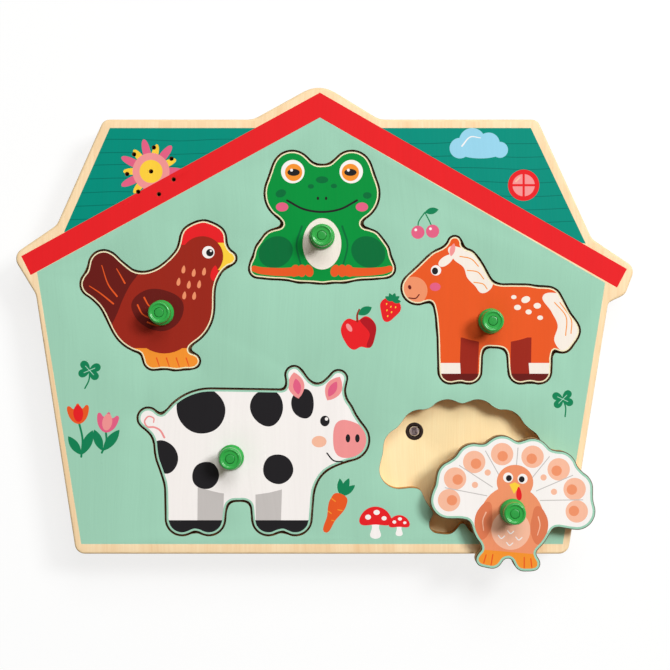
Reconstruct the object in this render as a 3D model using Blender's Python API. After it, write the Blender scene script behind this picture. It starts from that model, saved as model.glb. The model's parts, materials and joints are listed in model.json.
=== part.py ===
"""A sound puzzle: a house-shaped wooden board with five lift-out figures.

Lifting a figure off its recess uncovers a light sensor, and the board plays that
figure's sound. The board is four glued and screwed layers: a printed front with the
recesses cut through it, a thin floor that holds the light sensors, a deep frame
that leaves room for the electronics, and a screwed back with a battery door.

Units are metres. +X is the board's right, +Y its roof, +Z comes out of its printed
face. The origin is on the back's outer face, at the middle of the board.
"""
import math

import bmesh
import bpy
import numpy as np

MM = 0.001

# Layers of the board, from the back to the printed face
BACK_THICKNESS = 0.0025
FRAME_DEPTH = 0.0120
FLOOR_THICKNESS = 0.0020
FRONT_THICKNESS = 0.0080
GLUE_LINE = 0.0001

BACK_TOP = BACK_THICKNESS
FRAME_BASE = BACK_TOP + GLUE_LINE
FRAME_TOP = FRAME_BASE + FRAME_DEPTH
FLOOR_BASE = FRAME_TOP + GLUE_LINE
FLOOR_TOP = FLOOR_BASE + FLOOR_THICKNESS
FRONT_BASE = FLOOR_TOP + GLUE_LINE
FRONT_TOP = FRONT_BASE + FRONT_THICKNESS

# Board outline, anticlockwise from the gable's tip: x, y and corner radius in mm
BOARD_CORNERS = [
    (-1.2, 115.8, 15.0), (-33.5, 98.0, 10.0), (-106.2, 98.0, 4.5), (-129.0, 46.7, 7.0),
    (-150.7, 31.9, 5.5), (-139.2, 13.0, 8.0), (-119.6, -113.2, 5.0), (119.6, -113.2, 5.0),
    (139.2, 8.9, 3.0), (147.5, 13.0, 5.0), (152.3, 25.8, 5.0), (131.2, 40.0, 6.0),
    (104.7, 98.0, 4.5), (27.9, 98.0, 10.0),
]
EAVE_CORNERS = (4, 9, 10)
SCREW_CORNERS = (2, 4, 6, 7, 10, 12)
FRAME_WALL = 0.010
SCREW_INSET = 0.0062
EDGE_ROUND = 0.0010
BACK_EDGE_ROUND = 0.0008
ARC_STEP = math.radians(20)

# Figures and their recesses
PIECE_THICKNESS = 0.0080
PIECE_MARGIN = 0.0018
PIECE_CHAMFER = 0.0004
RECESS_CLEARANCE = 0.0007
SEAT_GAP = 0.0003
FIGURE_BLEND = 0.0040
OUTLINE_TURN = math.radians(19)
SHORTEST_STEP = 0.0009
LONGEST_STEP = 0.0045
STEP_GROWTH = 1.4

# Where the figures sit, and how far the fifth one lies from its recess
HEN_PLACE = (-0.0760, 0.0100)
FROG_PLACE = (0.0, 0.0500)
PONY_PLACE = (0.0800, 0.0040)
PIG_PLACE = (-0.0340, -0.0602)
TURKEY_PLACE = (0.0683, -0.0696)
LOOSE_SHIFT = (0.0238, -0.0170)
LOOSE_TURN = math.radians(-5)

# Knob and the rivet that holds it, as radii and heights over the figure's top
KNOB_FLANGE_RADIUS = 0.0062
KNOB_FLANGE_HEIGHT = 0.0024
KNOB_NECK_RADIUS = 0.0040
KNOB_HEAD_RADIUS = 0.0054
KNOB_HEAD_HEIGHT = 0.0042
KNOB_HEIGHT = 0.0120
KNOB_DISH_RADIUS = 0.0037
KNOB_DISH_DEPTH = 0.0006
KNOB_SIDES = 20
RIVET_RADIUS = 0.0022
RIVET_CLEARANCE = 0.0002
RIVET_HEAD_RADIUS = 0.0040
RIVET_HEAD_HEIGHT = 0.0014

# Light sensors
SENSOR_RADIUS = 0.0025
SENSOR_HEIGHT = 0.0021
SLEEVE_RADIUS = 0.0042
SLEEVE_WALL = 0.0013
SLEEVE_LENGTH = 0.0042
SLEEVE_BASE = 0.0010
FIT_GAP = 0.0002
TOUCH_GAP = 0.0003

# Sound holes and the speaker behind them
SPEAKER_PLACE = (-0.0831, 0.0727)
SPEAKER_RADIUS = 0.0142
SPEAKER_RIM_WIDTH = 0.0010
SOUND_WINDOW_RADIUS = SPEAKER_RADIUS - SPEAKER_RIM_WIDTH
SOUND_HOLE_RADIUS = 0.0011
SOUND_HOLE_MARGIN = 0.0004
SOUND_RING_RADIUS = SOUND_WINDOW_RADIUS - SOUND_HOLE_RADIUS - SOUND_HOLE_MARGIN
SOUND_RING_COUNT = 7
SOUND_RING_PHASE = math.radians(32)
SPEAKER_RIM_HEIGHT = 0.0012
SPEAKER_DEPTH = 0.0040
SPEAKER_SEAT_RADIUS = 0.0085
SPEAKER_SHEET = 0.0006
SPEAKER_WINDOWS = 4
SPEAKER_WINDOW_WIDTH = 0.0080
SPEAKER_WINDOW_MARGIN = 0.0010
CONE_RISE = 0.0014
MAGNET_RADIUS = 0.0065
MAGNET_HEIGHT = 0.0030

# Battery well, door and their screw; the well holds two AAA cells side by side
CELL_RADIUS = 0.00525
CELL_LENGTH = 0.0432
CELL_BUTTON_RADIUS = 0.0019
CELL_BUTTON_HEIGHT = 0.0010
CELL_SPACING = 0.0112
WELL_CENTRE = (-0.0020, -0.0400)
SPRING_SPACE = 0.0050
CONTACT_THICKNESS = 0.0004
BOX_WALL = 0.0012
BOX_CEILING = 0.0010
DOOR_LEDGE = 0.0020
FLANGE_WIDTH = 0.0030
FLANGE_THICKNESS = 0.0012
TONGUE_SPACE = 0.0040
NOTCH_LEDGE = 0.0005
SCREW_END = 0.0090
DOOR_THICKNESS = 0.0020
DOOR_GAP = 0.0003
DOOR_CORNER = 0.0015
DOOR_CHAMFER = 0.0003
GRIP_COUNT = 5
GRIP_PITCH = 0.0018
GRIP_WIDTH = 0.0008
GRIP_DEPTH = 0.0004
GRIP_LENGTH = 0.0100
GRIP_TO_SCREW = 0.0075
CELL_RIB_WIDTH = 0.0012
CELL_RIB_HEIGHT = 0.0016
CELL_RIB_END_SPACE = 0.0060
TONGUE_REACH = 0.0023
TONGUE_WIDTH = 0.0060
TONGUE_THICKNESS = 0.0009
TONGUE_ROOT = 0.0015
TONGUE_OFFSET = 0.0080
SPRING_WIRE = 0.0003
SPRING_TURNS = 3.5
SPRING_POINTS_PER_TURN = 10
SPRING_FOOT_RADIUS = 0.0036
SPRING_TIP_RADIUS = 0.0020

# Screws
SCREW_SHANK_RADIUS = 0.0014
SCREW_HEAD_RADIUS = 0.0029
SCREW_HEAD_HEIGHT = 0.0016
SCREW_HEAD_RIM = 0.0003
SCREW_SINK = 0.0002
SCREW_LENGTH = 0.0100
DOOR_SCREW_LENGTH = 0.0060
SCREW_HOLE_RADIUS = 0.0017
DOOR_SCREW_HOLE_RADIUS = 0.0021
SCREW_SIDES = 10

# Slide switch
SWITCH_PLACE = (0.0460, -0.0180)
SWITCH_BODY = (0.0130, 0.0066, 0.0050)
SWITCH_WALL = 0.0008
SLIDER_FOOT = (0.0060, 0.0044, 0.0010)
SLIDER_STEM = (0.0030, 0.0026)
SLIDER_TRAVEL = 0.0040
SLIDER_RECESS = 0.0006
SLOT_GAP = 0.0004

# Circuit board
CIRCUIT_CENTRE = (0.0060, 0.0180)
CIRCUIT_SIZE = (0.0400, 0.0280, 0.0016)
CHIP_RADIUS = 0.0060
CHIP_HEIGHT = 0.0018
LEAD_RADIUS = 0.0008
LEAD_SMOOTHNESS = 4


def clear_scene():
    """Starts from an empty file."""
    for obj in list(bpy.data.objects):
        bpy.data.objects.remove(obj, do_unlink=True)


def finish(name, colour, roughness, metallic=0.0):
    """A Principled material of one colour."""
    made = bpy.data.materials.new(name)
    made.use_nodes = True
    shader = made.node_tree.nodes["Principled BSDF"]
    shader.inputs["Base Color"].default_value = (*colour, 1.0)
    shader.inputs["Roughness"].default_value = roughness
    shader.inputs["Metallic"].default_value = metallic
    made.diffuse_color = (*colour, 1.0)
    return made


def object_from(name, bm, look, smooth_angle=math.radians(35)):
    """Makes the object, with outward faces and round stretches shaded smooth."""
    bmesh.ops.recalc_face_normals(bm, faces=bm.faces)
    mesh = bpy.data.meshes.new(name)
    bm.to_mesh(mesh)
    bm.free()
    mesh.shade_smooth()
    mesh.set_sharp_from_angle(angle=smooth_angle)
    if look is not None:
        mesh.materials.append(look)
    obj = bpy.data.objects.new(name, mesh)
    bpy.context.scene.collection.objects.link(obj)
    return obj


def circle(x, y, radius, sides, phase=0.0):
    """Points on a circle, anticlockwise from phase."""
    turns = phase + np.arange(sides) * (2 * math.pi / sides)
    return np.stack([x + radius * np.cos(turns), y + radius * np.sin(turns)], axis=1)


def rectangle(x0, y0, x1, y1):
    """The four corners, anticlockwise."""
    return np.array([(x0, y0), (x1, y0), (x1, y1), (x0, y1)])


def box_between(name, low, high):
    """A plain box as a hidden cutter, from its lowest to its highest corner."""
    bm = bmesh.new()
    base = rectangle(low[0], low[1], high[0], high[1])
    rings = [add_ring(bm, base, z) for z in (low[2], high[2])]
    join_rings(bm, rings)
    cap(bm, [rings[0]])
    cap(bm, [rings[1]])
    made = object_from(name, bm, None)
    made.hide_render = True
    made.display_type = "WIRE"
    return made


def cut_away(obj, cutter):
    """Takes the cutter's space out of the object."""
    cut = obj.modifiers.new(cutter.name, "BOOLEAN")
    cut.operation = "DIFFERENCE"
    cut.object = cutter


def centred_rectangle(centre, width, height):
    """A rectangle about its centre."""
    x, y = centre
    return rectangle(x - width / 2, y - height / 2, x + width / 2, y + height / 2)


def unit(vector):
    """The vector at length one."""
    return vector / np.linalg.norm(vector)


def board_corners(inset=0.0, skipped=()):
    """The board's corners in metres without those skipped, all edges moved in by inset."""
    used = [corner for i, corner in enumerate(BOARD_CORNERS) if i not in skipped]
    corners = np.array([(x * MM, y * MM) for x, y, _ in used])
    radii = [radius * MM for _, _, radius in used]
    along = np.roll(corners, -1, axis=0) - corners
    along /= np.linalg.norm(along, axis=1)[:, None]
    inward = np.stack([-along[:, 1], along[:, 0]], axis=1)
    moved = []
    for i, radius in enumerate(radii):
        before, after = i - 1, i
        start = corners[i] + inset * inward[before]
        other = corners[i] + inset * inward[after]
        reach, _ = np.linalg.solve(
            np.stack([along[before], -along[after]], axis=1), other - start
        )
        bulges = along[before][0] * along[after][1] > along[before][1] * along[after][0]
        kept = radius - inset if bulges else radius + inset
        moved.append((*(start + reach * along[before]), max(kept, EDGE_ROUND)))
    return moved


def rounded_outline(corners):
    """A closed outline whose corners (x, y, radius) are arcs."""
    points = []
    places = [np.array(corner[:2]) for corner in corners]
    for i, (_, _, radius) in enumerate(corners):
        here = places[i]
        back = unit(places[i - 1] - here)
        ahead = unit(places[(i + 1) % len(places)] - here)
        half = math.acos(float(np.clip(back @ ahead, -1, 1))) / 2
        centre = here + unit(back + ahead) * radius / math.sin(half)
        first = here + back * radius / math.tan(half) - centre
        last = here + ahead * radius / math.tan(half) - centre
        begin = math.atan2(first[1], first[0])
        sweep = math.remainder(math.atan2(last[1], last[0]) - begin, 2 * math.pi)
        steps = max(2, math.ceil(abs(sweep) / ARC_STEP))
        for k in range(steps + 1):
            turn = begin + sweep * k / steps
            points.append(centre + radius * np.array([math.cos(turn), math.sin(turn)]))
    return np.array(points)


def rounded_rectangle(x0, y0, x1, y1, radius):
    """A rectangle whose four corners are arcs."""
    return rounded_outline([(x0, y0, radius), (x1, y0, radius), (x1, y1, radius), (x0, y1, radius)])


def grown(loop, distance):
    """The loop with each point moved out along its own normal."""
    along = np.roll(loop, -1, axis=0) - np.roll(loop, 1, axis=0)
    along /= np.linalg.norm(along, axis=1)[:, None]
    return loop + distance * np.stack([along[:, 1], -along[:, 0]], axis=1)


def add_ring(bm, loop, z):
    """A ring of vertices at one height."""
    return [bm.verts.new((x, y, z)) for x, y in loop]


def join_rings(bm, rings):
    """Quads between each ring and the next."""
    for lower, upper in zip(rings, rings[1:]):
        for i, vert in enumerate(lower):
            j = (i + 1) % len(lower)
            bm.faces.new((vert, lower[j], upper[j], upper[i]))


def cap(bm, rings):
    """One flat face, in triangles, inside the first ring and outside the others."""
    edges = []
    for ring in rings:
        for i, vert in enumerate(ring):
            other = ring[(i + 1) % len(ring)]
            edges.append(bm.edges.get((vert, other)) or bm.edges.new((vert, other)))
    bmesh.ops.triangle_fill(bm, use_beauty=True, use_dissolve=False, edges=edges)


def plate(name, outer, holes, look):
    """A plate with through holes. outer and each hole are stacks of (height, loop)."""
    bm = bmesh.new()
    stacks = [[add_ring(bm, loop, z) for z, loop in stack] for stack in [outer, *holes]]
    for stack in stacks:
        join_rings(bm, stack)
    cap(bm, [stack[0] for stack in stacks])
    cap(bm, [stack[-1] for stack in stacks])
    return object_from(name, bm, look)


def shell(name, outer, wells, look):
    """A closed-top shell with wells open underneath. Each is a stack, lower ring first."""
    bm = bmesh.new()
    outside = [add_ring(bm, loop, z) for z, loop in outer]
    insides = [[add_ring(bm, loop, z) for z, loop in stack] for stack in wells]
    for stack in [outside, *insides]:
        join_rings(bm, stack)
    cap(bm, [outside[0], *[stack[0] for stack in insides]])
    for stack in [outside, *insides]:
        cap(bm, [stack[-1]])
    return object_from(name, bm, look)


def turned(name, profile, sides, look, centre=(0.0, 0.0), base=0.0, closed=False):
    """A turned piece: (radius, height) points carried once round the axis.

    An open profile is closed by a flat face at each end; a closed one is a ring.
    """
    bm = bmesh.new()
    rings = [add_ring(bm, circle(0, 0, radius, sides), z) for radius, z in profile]
    join_rings(bm, rings + rings[:1] if closed else rings)
    if not closed:
        cap(bm, [rings[0]])
        cap(bm, [rings[-1]])
    made = object_from(name, bm, look)
    made.location = (*centre, base)
    return made


def bored(centre, steps, sides):
    """A round hole as a stack, from (height, radius) steps."""
    return [(z, circle(*centre, radius, sides)) for z, radius in steps]


def bar(x0, y0, r0, x1, y1, r1):
    """A tapered round-ended bar of a figure, given in mm."""
    return tuple(value * MM for value in (x0, y0, r0, x1, y1, r1))


def disc(x, y, radius):
    """A round part of a figure, given in mm."""
    return bar(x, y, radius, x, y, radius)


def mirrored(bars):
    """The bars and their mirror images across the figure's own upright axis."""
    return bars + [(-x0, y0, r0, -x1, y1, r1) for x0, y0, r0, x1, y1, r1 in bars]


def hen():
    """A hen that looks to the right: body, neck, head, beak, comb, tail and legs."""
    return [
        bar(-8, -6, 18, 4, -4, 17.5), bar(6, 2, 15, 16, 19, 9.5), disc(18, 22, 9.5),
        bar(26, 22, 3.5, 31, 20.5, 1.5), disc(13, 31, 3.6), disc(18.5, 33, 4), disc(24, 31, 3.2),
        bar(-18, 0, 11, -30, 17, 5.5), bar(-18, 0, 9, -35, 8, 4.5),
        bar(-6, -20, 3, -6, -28, 2.2), bar(-6, -29.5, 1.8, 1, -29.5, 1.8),
        bar(6, -20, 3, 6, -28, 2.2), bar(6, -29.5, 1.8, 13, -29.5, 1.8),
    ]


def frog():
    """A frog that sits and looks ahead: body, wide head, two eyes and four legs."""
    return [bar(0, 0, 16, 0, -12, 18), bar(-14, 12, 12, 14, 12, 12)] + mirrored([
        disc(14.5, 23, 7.8), bar(21, -15, 8, 24, -18, 7.2),
        bar(31, -24.5, 2.6, 12, -25.5, 3), bar(9, -6, 5, 10, -24, 4),
    ])


def pony():
    """A pony that looks to the left: body, neck, head, ear, mane, legs and tail."""
    return [
        bar(-8, -1, 13.2, 19, -2, 13.8), bar(-13, 4, 10.5, -20, 18, 8),
        bar(-21, 20.5, 8.4, -33.5, 12, 6), bar(-17, 28, 2.8, -15.5, 34, 1.4),
        disc(-10.5, 24.5, 4.6), disc(-6.5, 18.5, 4.6), disc(-3.5, 12, 4.6),
        bar(-17, -8, 5, -17.5, -28.5, 4), bar(-8.5, -10, 5, -8.5, -28.5, 4),
        bar(16.5, -10, 5.4, 16.5, -28.5, 4), bar(25, -8, 5.4, 25.5, -28.5, 4),
        bar(30, 6, 4.6, 38, -9, 4.4), bar(38, -9, 4.4, 37, -15, 2.4),
    ]


def pig():
    """A pig that looks to the right: body, head, snout, ears, legs and a short tail."""
    return [
        bar(-20, 0, 25.5, 11, 0, 25), disc(31, 8, 18.5), bar(42, 3, 8.8, 47, 2.4, 8),
        bar(37, 23, 5.5, 42, 32, 2.4), bar(24, 25, 5.5, 20.5, 34, 2.4),
        bar(-33, -16, 7.4, -34, -36, 6), bar(-20.5, -20, 7.4, -21, -36, 6),
        bar(8, -20, 7.4, 8, -36, 6), bar(21, -18, 7.4, 21, -36, 6),
        bar(-44, 7, 2.8, -50.5, 13, 3.2),
    ]


FAN_FEATHERS = 8
FAN_START = math.radians(-6)
FAN_END = math.radians(186)
FAN_REACH = (31.0, 22.5)
FEATHER_RADIUS = 7.2


def turkey():
    """A turkey seen from the front: a scalloped fan of tail feathers, body and legs."""
    feathers = []
    for k in range(FAN_FEATHERS):
        turn = FAN_START + (FAN_END - FAN_START) * k / (FAN_FEATHERS - 1)
        x = FAN_REACH[0] * math.cos(turn)
        y = FAN_REACH[1] * math.sin(turn)
        feathers.append(bar(0, 0, FEATHER_RADIUS, x, y, FEATHER_RADIUS))
    return feathers + [disc(0, -8, 18)] + mirrored([
        bar(6.5, -22, 3, 7.5, -28, 2), bar(7.5, -29.3, 1.8, 12, -29.3, 1.8),
    ])


def bar_distance(points, shape):
    """Distance of each point from a tapered bar, below zero inside it."""
    x0, y0, r0, x1, y1, r1 = shape
    start, axis = np.array([x0, y0]), np.array([x1 - x0, y1 - y0])
    length_squared = max(float(axis @ axis), 1e-12)
    share = np.clip((points - start) @ axis / length_squared, 0, 1)
    nearest = start + share[:, None] * axis
    return np.linalg.norm(points - nearest, axis=1) - (r0 + share * (r1 - r0))


def figure_distance(points, bars):
    """Distance from all the bars together, with a fillet wherever two of them meet."""
    total = bar_distance(points, bars[0])
    for shape in bars[1:]:
        other = bar_distance(points, shape)
        mix = np.clip(0.5 + 0.5 * (other - total) / FIGURE_BLEND, 0, 1)
        total = other * (1 - mix) + total * mix - FIGURE_BLEND * mix * (1 - mix)
    return total


def on_outline(point, bars, margin):
    """The point moved on to the line that lies margin outside the bars, and the normal there."""
    nudge = MM * 1e-3
    offsets = nudge * np.array([(0, 0), (1, 0), (-1, 0), (0, 1), (0, -1)])
    for _ in range(5):
        values = figure_distance(point + offsets, bars) - margin
        slope = np.array([values[1] - values[2], values[3] - values[4]]) / (2 * nudge)
        point = point - values[0] * slope / (slope @ slope)
    return point, unit(slope)


def cut_outline(bars, margin):
    """The saw's line round a figure: a walk that stays margin outside its bars.

    Its steps shorten where the line turns, so that each turns about as far as the last.
    """
    widest = max(bars, key=lambda shape: shape[3] + shape[5])
    start, normal = on_outline(
        np.array([widest[3] + widest[5] + margin, widest[4]]), bars, margin
    )
    points, here, step = [start], start, SHORTEST_STEP
    while len(points) < 4 or np.linalg.norm(here - start) > step:
        ahead = np.array([-normal[1], normal[0]])
        before = normal
        here, normal = on_outline(here + step * ahead, bars, margin)
        points.append(here)
        turn = abs(math.asin(float(np.clip(before @ np.array([-normal[1], normal[0]]), -1, 1))))
        wanted = step * OUTLINE_TURN / max(turn, OUTLINE_TURN / STEP_GROWTH)
        step = min(max(wanted, SHORTEST_STEP), LONGEST_STEP)
    return np.array(points)


FIGURES = {
    "hen": {"bars": hen(), "place": HEN_PLACE, "knob": (-2.0, -6.0), "sensor": (-14.0, -4.0),
            "colour": (0.33, 0.03, 0.015)},
    "frog": {"bars": frog(), "place": FROG_PLACE, "knob": (0.0, -9.0), "sensor": (0.0, 8.0),
             "colour": (0.0, 0.27, 0.045)},
    "pony": {"bars": pony(), "place": PONY_PLACE, "knob": (2.0, -4.0), "sensor": (-13.0, 2.0),
             "colour": (0.80, 0.10, 0.018)},
    "pig": {"bars": pig(), "place": PIG_PLACE, "knob": (-10.0, -6.0), "sensor": (-24.0, 2.0),
            "colour": (0.88, 0.76, 0.74)},
    "turkey": {"bars": turkey(), "place": TURKEY_PLACE, "knob": (0.0, -5.0),
               "sensor": (-23.0, 15.5), "colour": (0.85, 0.80, 0.76)},
}
LOOSE_FIGURE = "turkey"


def placed(name, key):
    """A figure's own point, given in mm from its centre, in the board's frame."""
    place = FIGURES[name]["place"]
    return tuple(place[i] + FIGURES[name][key][i] * MM for i in (0, 1))


def sound_holes():
    """The middle sound hole and the ring of holes round it."""
    x, y = SPEAKER_PLACE
    ring = circle(x, y, SOUND_RING_RADIUS, SOUND_RING_COUNT, SOUND_RING_PHASE)
    return [(x, y), *[tuple(point) for point in ring]]


def screw_places():
    """Where the back's screws go: in the frame's wall, at the board's outward corners."""
    corners = board_corners(SCREW_INSET)
    return [corners[i][:2] for i in SCREW_CORNERS]


def build_front(look):
    """The printed front, with the five recesses and the sound holes cut through it."""
    edge = rounded_outline(board_corners())
    outer = [
        (FRONT_BASE, edge),
        (FRONT_TOP - EDGE_ROUND, edge),
        (FRONT_TOP - EDGE_ROUND * 0.3, grown(edge, -EDGE_ROUND * 0.3)),
        (FRONT_TOP, grown(edge, -EDGE_ROUND)),
    ]
    holes = []
    for figure in FIGURES.values():
        loop = cut_outline(figure["bars"], PIECE_MARGIN + RECESS_CLEARANCE) + figure["place"]
        holes.append([(FRONT_BASE, loop), (FRONT_TOP, loop)])
    for place in sound_holes():
        steps = [(FRONT_BASE, SOUND_HOLE_RADIUS), (FRONT_TOP, SOUND_HOLE_RADIUS)]
        holes.append(bored(place, steps, 10))
    return plate("front_panel", outer, holes, look)


def build_floor(look):
    """The recess floor: one thin sheet with the sensor holes and the speaker's window."""
    edge = rounded_outline(board_corners())
    levels = (FLOOR_BASE, FLOOR_TOP)
    holes = [
        bored(placed(name, "sensor"), [(z, SLEEVE_RADIUS + FIT_GAP) for z in levels], 16)
        for name in FIGURES
    ]
    holes.append(bored(SPEAKER_PLACE, [(z, SOUND_WINDOW_RADIUS) for z in levels], 20))
    return plate("recess_floor", [(z, edge) for z in levels], holes, look)


def build_frame(look):
    """The deep frame between floor and back, with a pilot hole for each screw."""
    edge = rounded_outline(board_corners())
    inner = rounded_outline(board_corners(FRAME_WALL, EAVE_CORNERS))
    levels = (FRAME_BASE, FRAME_TOP)
    holes = [[(z, inner) for z in levels]]
    for place in screw_places():
        holes.append(bored(place, [(z, SCREW_HOLE_RADIUS) for z in levels], SCREW_SIDES))
    return plate("frame_ring", [(z, edge) for z in levels], holes, look)


def well_box():
    """Lower and upper corners of the battery well, in x and y."""
    length = CONTACT_THICKNESS + CELL_BUTTON_HEIGHT + CELL_LENGTH + SPRING_SPACE
    width = CELL_SPACING + 2 * CELL_RADIUS + 2 * FIT_GAP
    x, y = WELL_CENTRE
    return x - length / 2, y - width / 2, x + length / 2, y + width / 2


def door_opening():
    """Lower and upper corners of the door's opening in the back, in x and y."""
    x0, y0, x1, y1 = well_box()
    return (
        x0 - BOX_WALL - TONGUE_SPACE,
        y0 - DOOR_LEDGE,
        x1 + BOX_WALL + SCREW_END,
        y1 + DOOR_LEDGE,
    )


def door_screw_place():
    """The door screw's axis, at the end away from the tongues."""
    return well_box()[2] + BOX_WALL + SCREW_END / 2, WELL_CENTRE[1]


def tongue_places():
    """The middle of each of the door's two tongues, in y."""
    return [WELL_CENTRE[1] + side * TONGUE_OFFSET for side in (-1, 1)]


def countersunk(place, low, high):
    """A screw's hole, whose lower end widens for the head."""
    head = SCREW_HEAD_RADIUS + FIT_GAP
    seat = low + SCREW_SINK
    steps = [
        (low, head), (seat + SCREW_HEAD_RIM, head),
        (seat + SCREW_HEAD_HEIGHT, SCREW_HOLE_RADIUS), (high, SCREW_HOLE_RADIUS),
    ]
    return bored(place, steps, SCREW_SIDES)


def build_back(look):
    """The screwed back, with the door's opening and the switch's slot."""
    edge = rounded_outline(board_corners())
    outer = [
        (0.0, grown(edge, -BACK_EDGE_ROUND)),
        (BACK_EDGE_ROUND, edge),
        (BACK_TOP, edge),
    ]
    slot = centred_rectangle(
        SWITCH_PLACE,
        SLIDER_STEM[0] + SLIDER_TRAVEL + 2 * SLOT_GAP,
        SLIDER_STEM[1] + 2 * SLOT_GAP,
    )
    doorway = rounded_rectangle(*door_opening(), DOOR_CORNER + DOOR_GAP)
    holes = [[(z, loop) for z in (0.0, BACK_TOP)] for loop in (doorway, slot)]
    holes += [countersunk(place, 0.0, BACK_TOP) for place in screw_places()]
    return plate("back_panel", outer, holes, look)


def screw(name, place, low, length, look):
    """A countersunk screw, its head sunk below the face at low, with a round drive dimple."""
    base = low + SCREW_SINK
    profile = [
        (SCREW_HEAD_RADIUS * 0.28, base + SCREW_HEAD_HEIGHT * 0.5),
        (SCREW_HEAD_RADIUS * 0.36, base),
        (SCREW_HEAD_RADIUS, base),
        (SCREW_HEAD_RADIUS, base + SCREW_HEAD_RIM),
        (SCREW_SHANK_RADIUS, base + SCREW_HEAD_HEIGHT),
        (SCREW_SHANK_RADIUS, base + length * 0.85),
        (SCREW_SHANK_RADIUS * 0.3, base + length),
    ]
    return turned(name, profile, SCREW_SIDES, look, centre=place)


def build_battery_box(look):
    """The battery well: a deep tub whose flange lies on the back, notched for the tongues.

    A rib along its ceiling keeps the two cells apart.
    """
    x0, y0, x1, y1 = well_box()
    left, low, right, high = door_opening()
    far_left, far_right = left - FLANGE_WIDTH, right + FLANGE_WIDTH
    bottom, top = low - FLANGE_WIDTH, high + FLANGE_WIDTH
    notch = left + TONGUE_SPACE - NOTCH_LEDGE
    half = TONGUE_WIDTH / 2 + SLOT_GAP
    flange = [(far_left, top)]
    for y in reversed(tongue_places()):
        flange += [(far_left, y + half), (notch, y + half), (notch, y - half), (far_left, y - half)]
    flange += [(far_left, bottom), (far_right, bottom), (far_right, top)]
    ceiling = cell_height() + CELL_RADIUS + TOUCH_GAP
    base = FRAME_BASE
    bm = bmesh.new()
    outline = [add_ring(bm, flange, base), add_ring(bm, flange, base + FLANGE_THICKNESS)]
    join_rings(bm, outline)
    wall = rectangle(x0 - BOX_WALL, y0 - BOX_WALL, right, y1 + BOX_WALL)
    walls = [add_ring(bm, wall, z) for z in (base + FLANGE_THICKNESS, ceiling + BOX_CEILING)]
    join_rings(bm, walls)
    well = [add_ring(bm, rectangle(x0, y0, x1, y1), z) for z in (base, ceiling)]
    join_rings(bm, well)
    pilot = circle(*door_screw_place(), DOOR_SCREW_HOLE_RADIUS, SCREW_SIDES)
    hole = [add_ring(bm, pilot, z) for z in (base, ceiling)]
    join_rings(bm, hole)
    middle = ((x0 + x1) / 2, (y0 + y1) / 2)
    ridge = centred_rectangle(middle, x1 - x0 - 2 * CELL_RIB_END_SPACE, CELL_RIB_WIDTH)
    rib = [add_ring(bm, ridge, z) for z in (ceiling, ceiling - CELL_RIB_HEIGHT)]
    join_rings(bm, rib)
    cap(bm, [outline[0], well[0], hole[0]])
    cap(bm, [outline[1], walls[0]])
    cap(bm, [well[1], rib[0]])
    for ring in (walls[1], rib[1], hole[1]):
        cap(bm, [ring])
    return object_from("battery_box", bm, look)


def build_battery_door(look):
    """The battery door: a plate with thumb grooves, a countersunk hole and two hooked tongues."""
    left, low, right, high = door_opening()
    base = door_base()
    top = base + DOOR_THICKNESS
    edge = rounded_rectangle(
        left + DOOR_GAP, low + DOOR_GAP, right - DOOR_GAP, high - DOOR_GAP, DOOR_CORNER
    )
    outer = [(base, grown(edge, -DOOR_CHAMFER)), (base + DOOR_CHAMFER, edge), (top, edge)]
    screw_x, screw_y = door_screw_place()
    door = plate("battery_door", outer, [countersunk((screw_x, screw_y), base, top)], look)
    for k in range(GRIP_COUNT):
        x = screw_x - GRIP_TO_SCREW - k * GRIP_PITCH
        cut_away(door, box_between(
            f"door_grip_{k + 1}",
            (x - GRIP_WIDTH / 2, screw_y - GRIP_LENGTH / 2, base - GRIP_DEPTH),
            (x + GRIP_WIDTH / 2, screw_y + GRIP_LENGTH / 2, base + GRIP_DEPTH),
        ))
    hook_base = BACK_TOP + TOUCH_GAP
    hook_top = hook_base + TONGUE_THICKNESS
    root = left + DOOR_GAP
    hook = [
        (root, top - DOOR_THICKNESS / 2), (root + TONGUE_ROOT, top - DOOR_THICKNESS / 2),
        (root + TONGUE_ROOT, hook_top), (left - TONGUE_REACH, hook_top),
        (left - TONGUE_REACH, hook_base), (root, hook_base),
    ]
    for k, y in enumerate(tongue_places()):
        bm = bmesh.new()
        sides = [
            [bm.verts.new((x, y + side * TONGUE_WIDTH / 2, z)) for x, z in hook]
            for side in (-1, 1)
        ]
        join_rings(bm, sides)
        cap(bm, [sides[0]])
        cap(bm, [sides[1]])
        tongue = object_from(f"door_tongue_{k + 1}", bm, look)
        tongue.hide_render = True
        tongue.display_type = "WIRE"
        union = door.modifiers.new(f"tongue_{k + 1}", "BOOLEAN")
        union.operation = "UNION"
        union.object = tongue
    return door


def door_base():
    """The height of the door's outer face, a little inside the back's."""
    return BACK_TOP - FIT_GAP - DOOR_THICKNESS


def cell_height():
    """The height of the cells' axes, over the closed door."""
    return door_base() + DOOR_THICKNESS + TOUCH_GAP + CELL_RADIUS


def battery_row(k):
    """The y of one of the two cells, and which way it points along x."""
    side = -1 if k == 0 else 1
    return WELL_CENTRE[1] + side * CELL_SPACING / 2, side


def lay_along_x(obj, x, y, z, way):
    """Turns a piece made along z so that it lies along x, pointing way."""
    obj.rotation_euler = (0.0, way * math.pi / 2, 0.0)
    obj.location = (x, y, z)


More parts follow.
